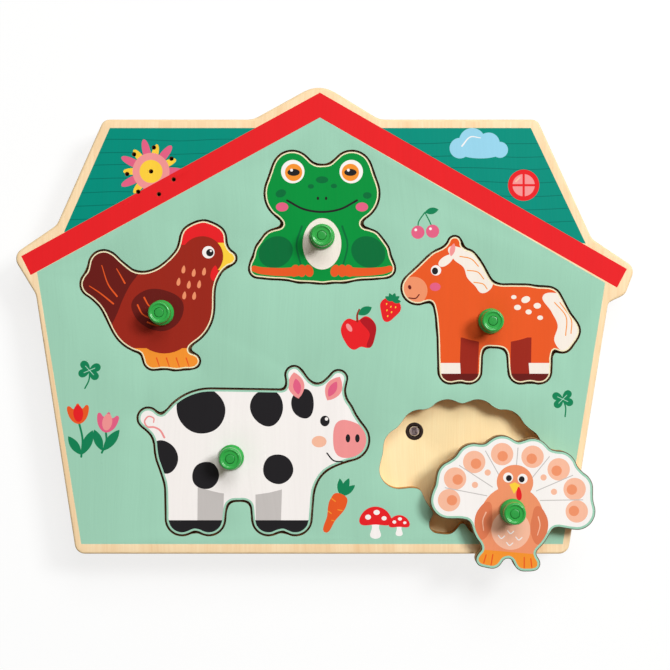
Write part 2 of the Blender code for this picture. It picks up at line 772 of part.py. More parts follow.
def build_cells(look):
    """Two AAA cells, head to tail, each with its button."""
    x0, _, x1, _ = well_box()
    height = cell_height()
    shoulder = CELL_LENGTH - 0.0004
    profile = [
        (CELL_RADIUS - 0.0004, 0.0), (CELL_RADIUS, 0.0004), (CELL_RADIUS, shoulder),
        (CELL_RADIUS - 0.0004, CELL_LENGTH), (CELL_BUTTON_RADIUS, CELL_LENGTH),
        (CELL_BUTTON_RADIUS, CELL_LENGTH + CELL_BUTTON_HEIGHT),
    ]
    for k in range(2):
        y, way = battery_row(k)
        button_end = CONTACT_THICKNESS + TOUCH_GAP + CELL_BUTTON_HEIGHT + CELL_LENGTH
        start = x1 - button_end if way > 0 else x0 + button_end
        cell = turned(f"battery_{k + 1}", profile, 16, look)
        lay_along_x(cell, start, y, height, way)


def least_gap(points, thickness):
    """The least free space between two turns of a coil, measured on its own points."""
    reach = SPRING_POINTS_PER_TURN // 2
    gaps = [
        np.linalg.norm(points[i + reach:] - points[i], axis=1).min() - thickness
        for i in range(len(points) - reach)
    ]
    return min(gaps)


def build_springs(look):
    """The cells' two conical springs, each one wire wound from a wide foot to a narrow tip."""
    x0, _, x1, _ = well_box()
    height = cell_height()
    count = round(SPRING_TURNS * SPRING_POINTS_PER_TURN)
    length = SPRING_SPACE - 2 * TOUCH_GAP - 2 * SPRING_WIRE - CONTACT_THICKNESS
    share = np.arange(count + 1) / count
    turns = share * SPRING_TURNS * 2 * math.pi
    radius = SPRING_FOOT_RADIUS + (SPRING_TIP_RADIUS - SPRING_FOOT_RADIUS) * share
    wound = np.stack([radius * np.cos(turns), radius * np.sin(turns), share * length], axis=1)
    print("battery spring, least gap between turns (mm):",
          round(least_gap(wound, 2 * SPRING_WIRE) / MM, 2))
    for k in range(2):
        y, way = battery_row(k)
        wall = x0 if way > 0 else x1
        start = wall + way * (TOUCH_GAP + SPRING_WIRE)
        wire = tube(f"battery_spring_{k + 1}", wound, SPRING_WIRE, 1, look)
        lay_along_x(wire, start, y, height, way)


def build_contacts(look):
    """The plate that each cell's button presses on, at the well's end."""
    x0, _, x1, _ = well_box()
    height = cell_height()
    half = CELL_RADIUS - TOUCH_GAP
    for k in range(2):
        y, way = battery_row(k)
        start = x1 - FIT_GAP - CONTACT_THICKNESS if way > 0 else x0 + FIT_GAP
        levels = (height - half, height + half * 0.8)
        loop = rectangle(start, y - half * 0.8, start + CONTACT_THICKNESS, y + half * 0.8)
        plate(f"battery_contact_{k + 1}", [(z, loop) for z in levels], [], look)


def tube(name, points, radius, roundness, look):
    """A round wire along the points, with closed ends."""
    curve = bpy.data.curves.new(name, "CURVE")
    curve.dimensions = "3D"
    curve.bevel_depth = radius
    curve.bevel_resolution = roundness
    curve.use_fill_caps = True
    line = curve.splines.new("POLY")
    line.points.add(len(points) - 1)
    for place, point in zip(line.points, points):
        place.co = (*point, 1.0)
    curve.materials.append(look)
    made = bpy.data.objects.new(name, curve)
    bpy.context.scene.collection.objects.link(made)
    return made


def smooth_route(points):
    """A smooth curve through the points, in even shares of each stretch."""
    points = np.array(points)
    padded = np.vstack([2 * points[0] - points[1], points, 2 * points[-1] - points[-2]])
    route = []
    for a, b, c, d in zip(padded, padded[1:], padded[2:], padded[3:]):
        for k in range(LEAD_SMOOTHNESS):
            t = k / LEAD_SMOOTHNESS
            route.append(
                0.5 * (2 * b + (c - a) * t + (2 * a - 5 * b + 4 * c - d) * t ** 2
                       + (3 * b - a - 3 * c + d) * t ** 3)
            )
    route.append(points[-1])
    return np.array(route)


def circuit_base():
    """The height of the circuit board's lower face, where the leads are soldered."""
    return FRAME_TOP - TOUCH_GAP - CIRCUIT_SIZE[2]


def build_circuit(board_look, chip_look):
    """The circuit board under the floor, and the sound chip's round cover on it."""
    base = circuit_base()
    loop = centred_rectangle(CIRCUIT_CENTRE, CIRCUIT_SIZE[0], CIRCUIT_SIZE[1])
    plate("circuit_board", [(base, loop), (base + CIRCUIT_SIZE[2], loop)], [], board_look)
    rise = [(CHIP_RADIUS * math.cos(t), -CHIP_HEIGHT * math.sin(t))
            for t in np.linspace(math.radians(80), 0, 5)]
    turned("sound_chip", rise, 20, chip_look, centre=CIRCUIT_CENTRE, base=base - FIT_GAP)


def build_speaker(frame_look, cone_look, magnet_look):
    """The speaker behind the sound holes: a dished frame with windows, its cone and magnet."""
    rim = FRAME_TOP - TOUCH_GAP
    foot = rim - SPEAKER_RIM_HEIGHT - SPEAKER_DEPTH
    dish = [
        (SPEAKER_SEAT_RADIUS * 0.4, foot), (SPEAKER_SEAT_RADIUS, foot),
        (SOUND_WINDOW_RADIUS - 0.0002, rim - SPEAKER_RIM_HEIGHT),
        (SPEAKER_RADIUS, rim - SPEAKER_RIM_HEIGHT), (SPEAKER_RADIUS, rim),
        (SOUND_WINDOW_RADIUS, rim),
        (SOUND_WINDOW_RADIUS, rim - SPEAKER_RIM_HEIGHT + SPEAKER_SHEET),
        (SPEAKER_SEAT_RADIUS - SPEAKER_SHEET / 2, foot + SPEAKER_SHEET),
        (SPEAKER_SEAT_RADIUS * 0.4, foot + SPEAKER_SHEET),
    ]
    frame = turned("speaker_frame", dish, 20, frame_look, centre=SPEAKER_PLACE, closed=True)
    for k in range(SPEAKER_WINDOWS):
        window = box_between(
            f"speaker_window_{k + 1}",
            (SPEAKER_SEAT_RADIUS * 0.7, -SPEAKER_WINDOW_WIDTH / 2, foot + SPEAKER_WINDOW_MARGIN),
            (SPEAKER_RADIUS, SPEAKER_WINDOW_WIDTH / 2,
             rim - SPEAKER_RIM_HEIGHT - SPEAKER_WINDOW_MARGIN),
        )
        window.rotation_euler = (0.0, 0.0, 2 * math.pi * (k + 0.5) / SPEAKER_WINDOWS)
        window.location = (*SPEAKER_PLACE, 0.0)
        cut_away(frame, window)
    edge = SOUND_WINDOW_RADIUS - FIT_GAP
    low = rim - SPEAKER_RIM_HEIGHT + SPEAKER_SHEET + FIT_GAP
    cone = [
        (edge * 0.30, low - CONE_RISE * 0.2), (edge * 0.62, low - CONE_RISE),
        (edge * 0.86, low), (edge, low), (edge, low + 0.0002), (edge * 0.84, low + 0.0002),
        (edge * 0.62, low - CONE_RISE + 0.0003), (edge * 0.30, low - CONE_RISE * 0.2 + 0.0003),
        (edge * 0.05, low + 0.0003),
    ]
    cone.insert(0, (edge * 0.05, low))
    turned("speaker_cone", cone, 16, cone_look, centre=SPEAKER_PLACE)
    top = foot - FIT_GAP
    magnet = [
        (MAGNET_RADIUS * 0.9, top - MAGNET_HEIGHT), (MAGNET_RADIUS, top - MAGNET_HEIGHT * 0.85),
        (MAGNET_RADIUS, top - MAGNET_HEIGHT * 0.15), (MAGNET_RADIUS * 0.9, top),
    ]
    turned("speaker_magnet", magnet, 16, magnet_look, centre=SPEAKER_PLACE)


def build_sensor(name, sleeve_look, sensor_look):
    """One figure's light sensor, sunk in the black sleeve that fits the floor's hole."""
    place = placed(name, "sensor")
    top = FLOOR_TOP
    foot = top - SLEEVE_LENGTH
    seat = foot + SLEEVE_BASE
    bore = SLEEVE_RADIUS - SLEEVE_WALL
    cup = [
        (SLEEVE_RADIUS, foot), (SLEEVE_RADIUS, top), (bore, top), (bore, seat),
    ]
    turned(f"sensor_sleeve_{name}", cup, 16, sleeve_look, centre=place)
    low = seat + FIT_GAP
    sensor = [
        (SENSOR_RADIUS * 0.94, low), (SENSOR_RADIUS, low + 0.0002),
        (SENSOR_RADIUS, low + SENSOR_HEIGHT - 0.0003),
        (SENSOR_RADIUS * 0.88, low + SENSOR_HEIGHT),
    ]
    turned(f"light_sensor_{name}", sensor, 12, sensor_look, centre=place)


def build_switch(body_look, slider_look):
    """The on-off switch: a small case on the back, and the slider that shows in its slot."""
    width, depth, height = SWITCH_BODY
    base = FRAME_BASE
    case = centred_rectangle(SWITCH_PLACE, width, depth)
    well = centred_rectangle(SWITCH_PLACE, width - 2 * SWITCH_WALL, depth - 2 * SWITCH_WALL)
    foot_base = BACK_TOP + TOUCH_GAP
    roof = foot_base + SLIDER_FOOT[2] + TOUCH_GAP
    shell("switch_body", [(base, case), (base + height, case)], [[(base, well), (roof, well)]],
          body_look)
    rest = (SWITCH_PLACE[0] - SLIDER_TRAVEL / 2, SWITCH_PLACE[1])
    stem = centred_rectangle((0, 0), *SLIDER_STEM)
    foot = centred_rectangle((0, 0), *SLIDER_FOOT[:2])
    rings = [(SLIDER_RECESS, stem), (foot_base, stem), (foot_base, foot),
             (foot_base + SLIDER_FOOT[2], foot)]
    slider = plate("switch_slider", rings, [], slider_look)
    slider.location = (*rest, 0.0)


def knob_profile():
    """The knob's turned outline, from its bore's foot out and round to the bore's top."""
    bore = RIVET_RADIUS + RIVET_CLEARANCE
    flange, neck, head = KNOB_FLANGE_RADIUS, KNOB_NECK_RADIUS, KNOB_HEAD_RADIUS
    under = KNOB_HEIGHT - KNOB_HEAD_HEIGHT
    rim = (head + KNOB_DISH_RADIUS) / 2
    return [
        (bore, 0.0), (flange, 0.0), (flange, KNOB_FLANGE_HEIGHT * 0.6),
        (neck * 1.2, KNOB_FLANGE_HEIGHT), (neck, (KNOB_FLANGE_HEIGHT + under) / 2),
        (neck * 1.12, under), (head * 0.93, under),
        (head, under + KNOB_HEAD_HEIGHT * 0.25), (head, under + KNOB_HEAD_HEIGHT * 0.68),
        ((head + rim) / 2, KNOB_HEIGHT - 0.0003), (rim, KNOB_HEIGHT),
        (KNOB_DISH_RADIUS, KNOB_HEIGHT - KNOB_DISH_DEPTH), (bore, KNOB_HEIGHT - KNOB_DISH_DEPTH),
    ]


def build_figure(name, rivet_look, knob_look):
    """One lift-out figure: the sawn wooden piece, its knob and the rivet through both."""
    figure = FIGURES[name]
    loose = name == LOOSE_FIGURE
    place = np.array(figure["place"])
    base = FLOOR_TOP + SEAT_GAP
    if loose:
        place = place + LOOSE_SHIFT
        base = FRONT_TOP + SEAT_GAP
    holder = bpy.data.objects.new(f"{name}_place", None)
    bpy.context.scene.collection.objects.link(holder)
    holder.location = (*place, base)
    holder.rotation_euler = (0.0, 0.0, LOOSE_TURN if loose else 0.0)
    knob_at = tuple(value * MM for value in figure["knob"])
    edge = cut_outline(figure["bars"], PIECE_MARGIN)
    outer = [
        (0.0, edge), (PIECE_THICKNESS - PIECE_CHAMFER, edge),
        (PIECE_THICKNESS, grown(edge, -PIECE_CHAMFER)),
    ]
    ledge = RIVET_HEAD_HEIGHT + 2 * FIT_GAP
    bore = RIVET_RADIUS + RIVET_CLEARANCE
    pocket = RIVET_HEAD_RADIUS + FIT_GAP
    hole = bored(knob_at, [(0.0, pocket), (ledge, pocket), (ledge, bore),
                           (PIECE_THICKNESS, bore)], 12)
    wood = finish(f"{name}_print", figure["colour"], 0.4)
    piece = plate(f"{name}_piece", outer, [hole], wood)
    knob_base = PIECE_THICKNESS + FIT_GAP
    knob = turned(f"{name}_knob", knob_profile(), KNOB_SIDES, knob_look,
                  centre=knob_at, base=knob_base, closed=True)
    rivet_top = knob_base + KNOB_HEIGHT - KNOB_DISH_DEPTH
    rivet_profile = [
        (RIVET_HEAD_RADIUS, FIT_GAP), (RIVET_HEAD_RADIUS, FIT_GAP + RIVET_HEAD_HEIGHT),
        (RIVET_RADIUS, FIT_GAP + RIVET_HEAD_HEIGHT), (RIVET_RADIUS, rivet_top - 0.0002),
        (RIVET_RADIUS - 0.0003, rivet_top + 0.0001),
    ]
    rivet = turned(f"{name}_rivet", rivet_profile, 12, rivet_look, centre=knob_at)
    for obj in (piece, knob, rivet):
        obj.parent = holder


def build_leads(look):
    """The wires from the circuit board to each sensor, the speaker, cells and switch."""
    x, y = CIRCUIT_CENTRE
    half_x, half_y = CIRCUIT_SIZE[0] / 2, CIRCUIT_SIZE[1] / 2
    solder = circuit_base() - TOUCH_GAP - LEAD_RADIUS
    under = FLOOR_TOP - SLEEVE_LENGTH - TOUCH_GAP - LEAD_RADIUS
    pads = {
        "hen": (x - half_x + 0.003, y - 0.004),
        "frog": (x - 0.004, y + half_y - 0.003),
        "pony": (x + half_x - 0.003, y + 0.004),
        "pig": (x - half_x + 0.006, y - half_y + 0.003),
        "turkey": (x + 0.012, y - half_y + 0.003),
    }
    for name, pad in pads.items():
        end = placed(name, "sensor")
        middle = [(pad[0] * 2 + end[0]) / 3, (pad[1] * 2 + end[1]) / 3]
        route = [(*pad, solder), (*middle, solder), (*end, under)]
        if name == "turkey":
            edge = door_opening()[2] + FLANGE_WIDTH + 0.003
            route[1:2] = [(edge, y - half_y - 0.02, solder), (edge, end[1] + 0.012, solder)]
        if name == "pig":
            edge = door_opening()[0] - FLANGE_WIDTH - 0.004
            route[1:2] = [(edge, y - half_y - 0.014, solder)]
        tube(f"sensor_lead_{name}", smooth_route(route), LEAD_RADIUS, 1, look)
    shoulder = SPEAKER_PLACE[0] + SPEAKER_RADIUS + TOUCH_GAP, SPEAKER_PLACE[1]
    start = (x - half_x + 0.003, y + half_y - 0.004, solder)
    tube("speaker_lead", smooth_route([
        start, (x - half_x - 0.02, y + half_y + 0.012, solder),
        (shoulder[0] + 0.012, shoulder[1] - 0.004, solder), (*shoulder, solder),
    ]), LEAD_RADIUS, 1, look)
    wall = well_box()[3] + BOX_WALL + TOUCH_GAP
    tube("battery_lead", smooth_route([
        (x, y - half_y + 0.003, solder), (x - 0.002, (y - half_y + wall) / 2, solder),
        (x, wall, solder),
    ]), LEAD_RADIUS, 1, look)
    case_top = FRAME_BASE + SWITCH_BODY[2] + TOUCH_GAP + LEAD_RADIUS
    tube("switch_lead", smooth_route([
        (x + half_x - 0.003, y - 0.006, solder), (x + half_x + 0.010, y - 0.018, solder),
        (SWITCH_PLACE[0], SWITCH_PLACE[1] + 0.004, case_top), (*SWITCH_PLACE, case_top),
    ]), LEAD_RADIUS, 1, look)


def build_puzzle():
    """The whole toy."""
    print_look = finish("printed_front", (0.34, 0.64, 0.47), 0.42)
    ply = finish("floor_plywood", (0.83, 0.66, 0.40), 0.6)
    fibreboard = finish("fibreboard", (0.42, 0.26, 0.13), 0.75)
    green = finish("green_plastic", (0.035, 0.36, 0.075), 0.22)
    black = finish("black_plastic", (0.02, 0.02, 0.02), 0.4)
    steel = finish("bright_steel", (0.62, 0.62, 0.64), 0.3, 1.0)
    cell = finish("cell_jacket", (0.05, 0.06, 0.07), 0.35)
    resin = finish("circuit_resin", (0.02, 0.16, 0.06), 0.4)
    paper = finish("cone_film", (0.55, 0.52, 0.46), 0.5)
    lens = finish("sensor_ceramic", (0.30, 0.22, 0.20), 0.35)
    wire = finish("lead_jacket", (0.55, 0.02, 0.02), 0.5)
    build_front(print_look)
    build_floor(ply)
    build_frame(ply)
    build_back(fibreboard)
    for k, place in enumerate(screw_places()):
        screw(f"back_screw_{k + 1}", place, 0.0, SCREW_LENGTH, steel)
    build_battery_box(black)
    build_battery_door(black)
    screw("battery_door_screw", door_screw_place(), door_base(), DOOR_SCREW_LENGTH, steel)
    build_cells(cell)
    build_springs(steel)
    build_contacts(steel)
    build_circuit(resin, black)
    build_speaker(steel, paper, steel)
    build_switch(black, black)
    for name in FIGURES:
        build_sensor(name, black, lens)
        build_figure(name, green, green)
    build_leads(wire)


clear_scene()
build_puzzle()
bpy.context.view_layer.update()
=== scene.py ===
# %% [markdown]
# # A wooden sound puzzle, dressed over its CAD frame
#
# The toy is a barn-shaped board of glued wooden sheets. A printed front sheet has five
# recesses cut through it, and a flat wooden animal with a plastic knob sits in each.
# One animal lies loose, so its recess shows a light sensor in the floor.
#
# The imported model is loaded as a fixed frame. Each printed sheet is then made again from
# the outline of its CAD node, so that its picture can be cut into the surface itself.

# %% Load the frame
import json
import math

import bpy
import numpy as np
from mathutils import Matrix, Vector
from mathutils.geometry import delaunay_2d_cdt


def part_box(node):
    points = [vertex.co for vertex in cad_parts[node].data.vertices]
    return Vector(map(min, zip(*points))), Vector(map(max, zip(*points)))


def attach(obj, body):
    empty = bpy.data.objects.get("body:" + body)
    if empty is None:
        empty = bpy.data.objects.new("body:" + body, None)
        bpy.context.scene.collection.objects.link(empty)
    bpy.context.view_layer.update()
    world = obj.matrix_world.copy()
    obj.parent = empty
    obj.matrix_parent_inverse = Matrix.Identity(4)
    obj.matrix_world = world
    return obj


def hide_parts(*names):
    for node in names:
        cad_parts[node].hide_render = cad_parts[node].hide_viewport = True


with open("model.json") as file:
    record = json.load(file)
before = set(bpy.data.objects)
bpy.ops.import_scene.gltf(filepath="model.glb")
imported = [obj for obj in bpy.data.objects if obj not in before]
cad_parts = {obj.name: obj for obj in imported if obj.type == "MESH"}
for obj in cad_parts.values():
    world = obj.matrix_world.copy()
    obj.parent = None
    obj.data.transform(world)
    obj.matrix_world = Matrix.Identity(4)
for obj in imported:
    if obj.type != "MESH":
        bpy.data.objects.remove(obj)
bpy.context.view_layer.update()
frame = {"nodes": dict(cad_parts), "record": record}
scene = bpy.context.scene
scene.view_settings.view_transform = "Standard"
MM = 0.001

# %% [markdown]
# ## Meshes from arrays
#
# Every new piece here is a set of points and a set of faces, worked out as whole arrays.
# One helper puts them into a mesh. Corners sharper than a set angle stay crisp, and the
# rest is shaded smooth, as on a sanded or moulded edge.


# %% One way into a mesh
def new_piece(name, points, faces, looks, look_of=None, sharp=35.0):
    """A mesh object from points in metres and faces as index rows, with its materials."""
    mesh = bpy.data.meshes.new(name)
    mesh.from_pydata(np.asarray(points, dtype=float).tolist(), [],
                     [face.tolist() for part in faces for face in part])
    for look in looks:
        mesh.materials.append(look)
    if look_of is not None:
        mesh.polygons.foreach_set("material_index", np.asarray(look_of, dtype=np.int32))
    mesh.polygons.foreach_set("use_smooth", np.ones(len(mesh.polygons), dtype=bool))
    mesh.set_sharp_from_angle(angle=math.radians(sharp))
    mesh.update()
    piece = bpy.data.objects.new(name, mesh)
    scene.collection.objects.link(piece)
    return piece


BODY_OF = {node: body for body, nodes in frame["record"]["behaviour"]["bodies"].items()
           for node in nodes}


def stands_for(piece, node):
    """The piece takes a CAD node's place: the node is hidden and the piece rides on its body."""
    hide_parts(node)
    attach(piece, BODY_OF[node])


# %% [markdown]
# ## Outlines from the CAD sheets
#
# A sawn sheet is flat, so everything about its shape is in the loops that bound its top
# face. They are read from the CAD node, so that the dressed sheet lies exactly where the
# solid does. The CAD loops are coarse, and a Hermite curve through the same corners
# smooths them, while long straight edges stay straight.


# %% Read and smooth the outlines
def walk_round(edges):
    """Closed loops of vertex numbers from directed edges that follow one another."""
    after = {int(a): int(b) for a, b in edges}
    loops = []
    while after:
        first, step = after.popitem()
        loop = [first]
        while step != first:
            loop.append(step)
            step = after.pop(step)
        loops.append(np.array(loop))
    return loops


def rim_of(triangles):
    """The edges that only one triangle has, in that triangle's own direction."""
    directed = np.concatenate([triangles[:, [0, 1]], triangles[:, [1, 2]], triangles[:, [2, 0]]])
    _, where, count = np.unique(np.sort(directed, axis=1), axis=0, return_inverse=True,
                                return_counts=True)
    return directed[count[where.reshape(-1)] == 1]


def welded(node):
    """A CAD node's corners in mm, each of them once, and its triangles as corner numbers."""
    mesh = frame["nodes"][node].data
    mesh.calc_loop_triangles()
    places = np.empty(len(mesh.vertices) * 3)
    mesh.vertices.foreach_get("co", places)
    places = np.round(places.reshape(-1, 3) / MM, 3)
    corners = np.empty(len(mesh.loop_triangles) * 3, dtype=np.int32)
    mesh.loop_triangles.foreach_get("vertices", corners)
    places, index = np.unique(places, axis=0, return_inverse=True)
    triangles = index.reshape(-1)[corners].reshape(-1, 3)
    whole = (triangles != np.roll(triangles, 1, axis=1)).all(axis=1)
    return places, triangles[whole]


def area_of(loop):
    """Signed area of a loop, above zero if it runs anticlockwise."""
    after = np.roll(loop, -1, axis=0)
    return 0.5 * float(np.sum(loop[:, 0] * after[:, 1] - loop[:, 1] * after[:, 0]))


def top_loops(node):
    """The loops in mm that bound a node's flat top face, the largest first."""
    places, triangles = welded(node)
    level = places[:, 2].max()
    flat = (np.abs(places[triangles][:, :, 2] - level) < 0.01).all(axis=1)
    a, b, c = np.moveaxis(places[triangles[flat]][:, :, :2], 1, 0)
    turn = np.cross(b - a, c - a)
    kept = triangles[flat][np.abs(turn) > 1e-9]
    turn = turn[np.abs(turn) > 1e-9]
    kept[turn < 0] = kept[turn < 0][:, ::-1]
    loops = [places[loop, :2] for loop in walk_round(rim_of(kept))]
    return sorted(loops, key=lambda loop: -abs(area_of(loop)))


def unit(vectors):
    """The vectors, each scaled to length one."""
    return vectors / np.linalg.norm(vectors, axis=1, keepdims=True)


def eased(loop, parts=3, longest=6.5):
    """The loop with each short edge cut into parts along a smooth curve.

    Each edge becomes a cubic Hermite curve. Its slope at a corner is the mean of the two
    edges that meet there, the shorter one counting more.
    """
    edge = np.roll(loop, -1, axis=0) - loop
    length = np.linalg.norm(edge, axis=1, keepdims=True)
    pull = edge / length / length
    slope = unit(pull + np.roll(pull, 1, axis=0))
    t = (np.arange(parts) / parts)[:, None, None]
    start, end = loop[None], np.roll(loop, -1, axis=0)[None]
    leave, arrive = slope[None] * length, np.roll(slope, -1, axis=0)[None] * length
    curve = ((2 * t**3 - 3 * t**2 + 1) * start + (t**3 - 2 * t**2 + t) * leave
             + (3 * t**2 - 2 * t**3) * end + (t**3 - t**2) * arrive)
    keep = np.ones(curve.shape[:2], dtype=bool)
    keep[1:, length[:, 0] > longest] = False
    return curve.transpose(1, 0, 2)[keep.T]


def mitre(arriving, leaving):
    """The way out of a corner, to the right of its two edges, that moves both out by one."""
    both = unit(arriving) + unit(leaving)
    out = np.stack([both[:, 1], -both[:, 0]], axis=1)
    return out / np.maximum(np.sum(out * out, axis=1, keepdims=True) / 2, 0.5)


def moved_out(loop, distance):
    """The loop with every corner moved square to its two edges, to the right of its run."""
    edge = np.roll(loop, -1, axis=0) - loop
    return loop + mitre(np.roll(edge, 1, axis=0), edge) * distance


def box_of(node):
    """The low and the high corner of a CAD node's box, in mm."""
    return [np.asarray(corner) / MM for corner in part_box(node)]


def levels_of(node):
    """The heights of a CAD node's underside and top, in mm."""
    return [corner[2] for corner in box_of(node)]


def round_size(node):
    """The middle, the radius and the two heights in mm of a CAD node that is round about z."""
    low, high = box_of(node)
    return (low + high)[:2] / 2, (high[0] - low[0]) / 2, low[2], high[2]


FIGURES = ("hen", "frog", "pony", "pig", "turkey")
front_loops = top_loops("front_panel")
print("Loops of the front:", [len(loop) for loop in front_loops])

# %% [markdown]
# ## Drawing with closed shapes
#
# The print is flat colour, so each motif is a stack of closed shapes in millimetres:
# ovals, soft closed curves, tapered strokes. A later shape lies over an earlier one.


# %% Shapes for the print
def turned_by(shape, degrees):
    """The shape turned about the origin."""
    c, s = math.cos(math.radians(degrees)), math.sin(math.radians(degrees))
    return np.asarray(shape, dtype=float) @ np.array([[c, s], [-s, c]])


def full_turn(count):
    """Even steps of one turn, in radians."""
    return np.linspace(0, 2 * np.pi, count, endpoint=False)


def oval(x, y, wide, high=None, turn=0.0, count=40):
    """Points round an ellipse of half-width wide and half-height high, turned by degrees."""
    t = full_turn(count)
    high = wide if high is None else high
    return turned_by(np.stack([wide * np.cos(t), high * np.sin(t)], axis=1), turn) + (x, y)


def ovals(*rows):
    """An oval for each row of its values."""
    return [oval(*row) for row in rows]


def block(x0, y0, x1, y1):
    """The corners of an upright rectangle."""
    return np.array([(x0, y0), (x1, y0), (x1, y1), (x0, y1)], dtype=float)


def soft(corners, parts=8):
    """A closed soft curve through a few corners, by the same Hermite rule as the outlines."""
    return eased(np.asarray(corners, dtype=float), parts, longest=1e9)


def path_through(corners, parts):
    """An open Catmull-Rom curve through a few corners."""
    p = np.asarray(corners, dtype=float)
    ends = np.vstack([2 * p[0] - p[1], p, 2 * p[-1] - p[-2]])
    t = np.linspace(0, 1, parts, endpoint=False)[None, :, None]
    a, b, c, d = (ends[i:len(ends) - 3 + i, None] for i in range(4))
    curve = 0.5 * (2 * b + (c - a) * t + (2 * a - 5 * b + 4 * c - d) * t**2
                   + (3 * b - a - 3 * c + d) * t**3)
    return np.vstack([curve.reshape(-1, 2), p[-1]])


def stroke(corners, width, end_width=None, parts=8):
    """A brush stroke along a curve: both sides of the path, with a round cap at each end."""
    path = path_through(corners, parts)
    run = unit(np.gradient(path, axis=0))
    side = np.stack([run[:, 1], -run[:, 0]], axis=1)
    half = np.linspace(width, width if end_width is None else end_width, len(path))[:, None] / 2
    t = np.linspace(-np.pi / 2, np.pi / 2, 7)[1:-1, None]
    end_cap = path[-1] + half[-1] * (run[-1] * np.cos(t) - side[-1] * np.sin(t))
    start_cap = path[0] + half[0] * (-run[0] * np.cos(t) + side[0] * np.sin(t))
    return np.vstack([path + side * half, end_cap, (path - side * half)[::-1], start_cap])


def strokes(width, end_width, *paths):
    """Strokes of the same widths along several paths."""
    return [stroke(path, width, end_width) for path in paths]


def leaf(x, y, length, width, turn):
    """A pointed leaf from its stalk at (x, y): half-width follows a sine, sharp at both ends."""
    t = np.linspace(0, 1, 12)
    half = width / 2 * np.sin(np.pi * t) ** 0.8
    outline = np.vstack([np.stack([t * length, half], axis=1),
                         np.stack([t * length, -half], axis=1)[-2:0:-1]])
    return turned_by(outline[::-1], turn) + (x, y)


def petal(x, y, length, width, turn):
    """A round-ended petal from its foot at (x, y): a drop whose half-width swells outwards."""
    t = full_turn(28)
    along = length * (1 - np.cos(t)) / 2
    across = width / 2 * np.sin(t) * (0.35 + 0.65 * np.sin(t / 2))
    return turned_by(np.stack([along, across], axis=1), turn) + (x, y)


def both_sides(shape):
    """A shape and its mirror image across x = 0."""
    return [shape, np.asarray(shape)[::-1] * (-1, 1)]


def inside(points, loop):
    """Which points lie inside a loop: a ray to the right crosses it an odd number of times."""
    low, high = loop.min(axis=0), loop.max(axis=0)
    result = ((points >= low) & (points <= high)).all(axis=1)
    x, y = points[result, 0][:, None], points[result, 1][:, None]
    x0, y0 = loop[:, 0], loop[:, 1]
    x1, y1 = np.roll(x0, -1), np.roll(y0, -1)
    rise = np.where(y1 == y0, 1.0, y1 - y0)
    crosses = ((y0 > y) != (y1 > y)) & (x < x0 + (y - y0) * (x1 - x0) / rise)
    result[result] = crosses.sum(axis=1) % 2 == 1
    return result


# %% [markdown]
# ## Inks
#
# The inks are named by what they are, as colours a screen would show, and turned into the
# linear values that the shader works in.

# %% The inks
INKS = {
    "mint": (158, 206, 182), "mint light": (166, 212, 189), "teal": (0, 140, 122),
    "deep teal": (0, 112, 98), "red": (230, 34, 39), "dark red": (176, 24, 34),
    "green": (4, 143, 60), "dark green": (8, 109, 57), "leaf": (20, 128, 84),
    "brown": (154, 40, 27), "dark brown": (104, 28, 24), "orange": (231, 89, 37),
    "amber": (243, 146, 48), "yellow": (250, 205, 62), "cream": (243, 232, 222),
    "white": (246, 240, 238), "peach": (238, 146, 105), "pale peach": (246, 186, 158),
    "pink": (240, 148, 148), "rose": (226, 96, 132), "black": (35, 33, 36),
    "sky": (150, 208, 232), "grey": (196, 190, 188), "wood": (244, 214, 172),
    "clay": (222, 122, 84), "lens": (112, 92, 92), "lens track": (40, 28, 28),
    # The pale cream rim ink is bare wood at a figure's cut edge, painted paler as an edge highlight
    "lens metal": (146, 128, 128), "bare wood rim with painted highlight": (240, 230, 192),
}


def linear(rgb):
    """Screen colour 0-255 to the linear 0-1 value that a shader uses."""
    c = np.asarray(rgb, dtype=float) / 255
    return np.where(c <= 0.04045, c / 12.92, ((c + 0.055) / 1.055) ** 2.4)


def paint(rgb):
    """Screen colour 0-255 to the four values of a colour socket."""
    return (*linear(rgb), 1.0)


INK_NAMES = list(INKS)
INK_VALUES = np.array([paint(rgb) for rgb in INKS.values()])
WOOD = INK_NAMES.index("wood")


def inked(ink, *shapes, within=None):
    """Layers of one ink: each shape with the loop that clips it, if any."""
    return [(INK_NAMES.index(ink), np.asarray(shape, dtype=float), within) for shape in shapes]


print(len(INKS), "inks")

# %% [markdown]
# ## A sheet with its picture cut in
#
# A printed sheet could carry an image, but none is used here. Instead the flat top is
# split along every edge of every shape by a constrained Delaunay triangulation, and each
# triangle takes the ink of the topmost shape over it. The picture then has edges as crisp
# as geometry. The walls follow the rim of those triangles, ring by ring down a profile,
# so the sheet is one closed solid.


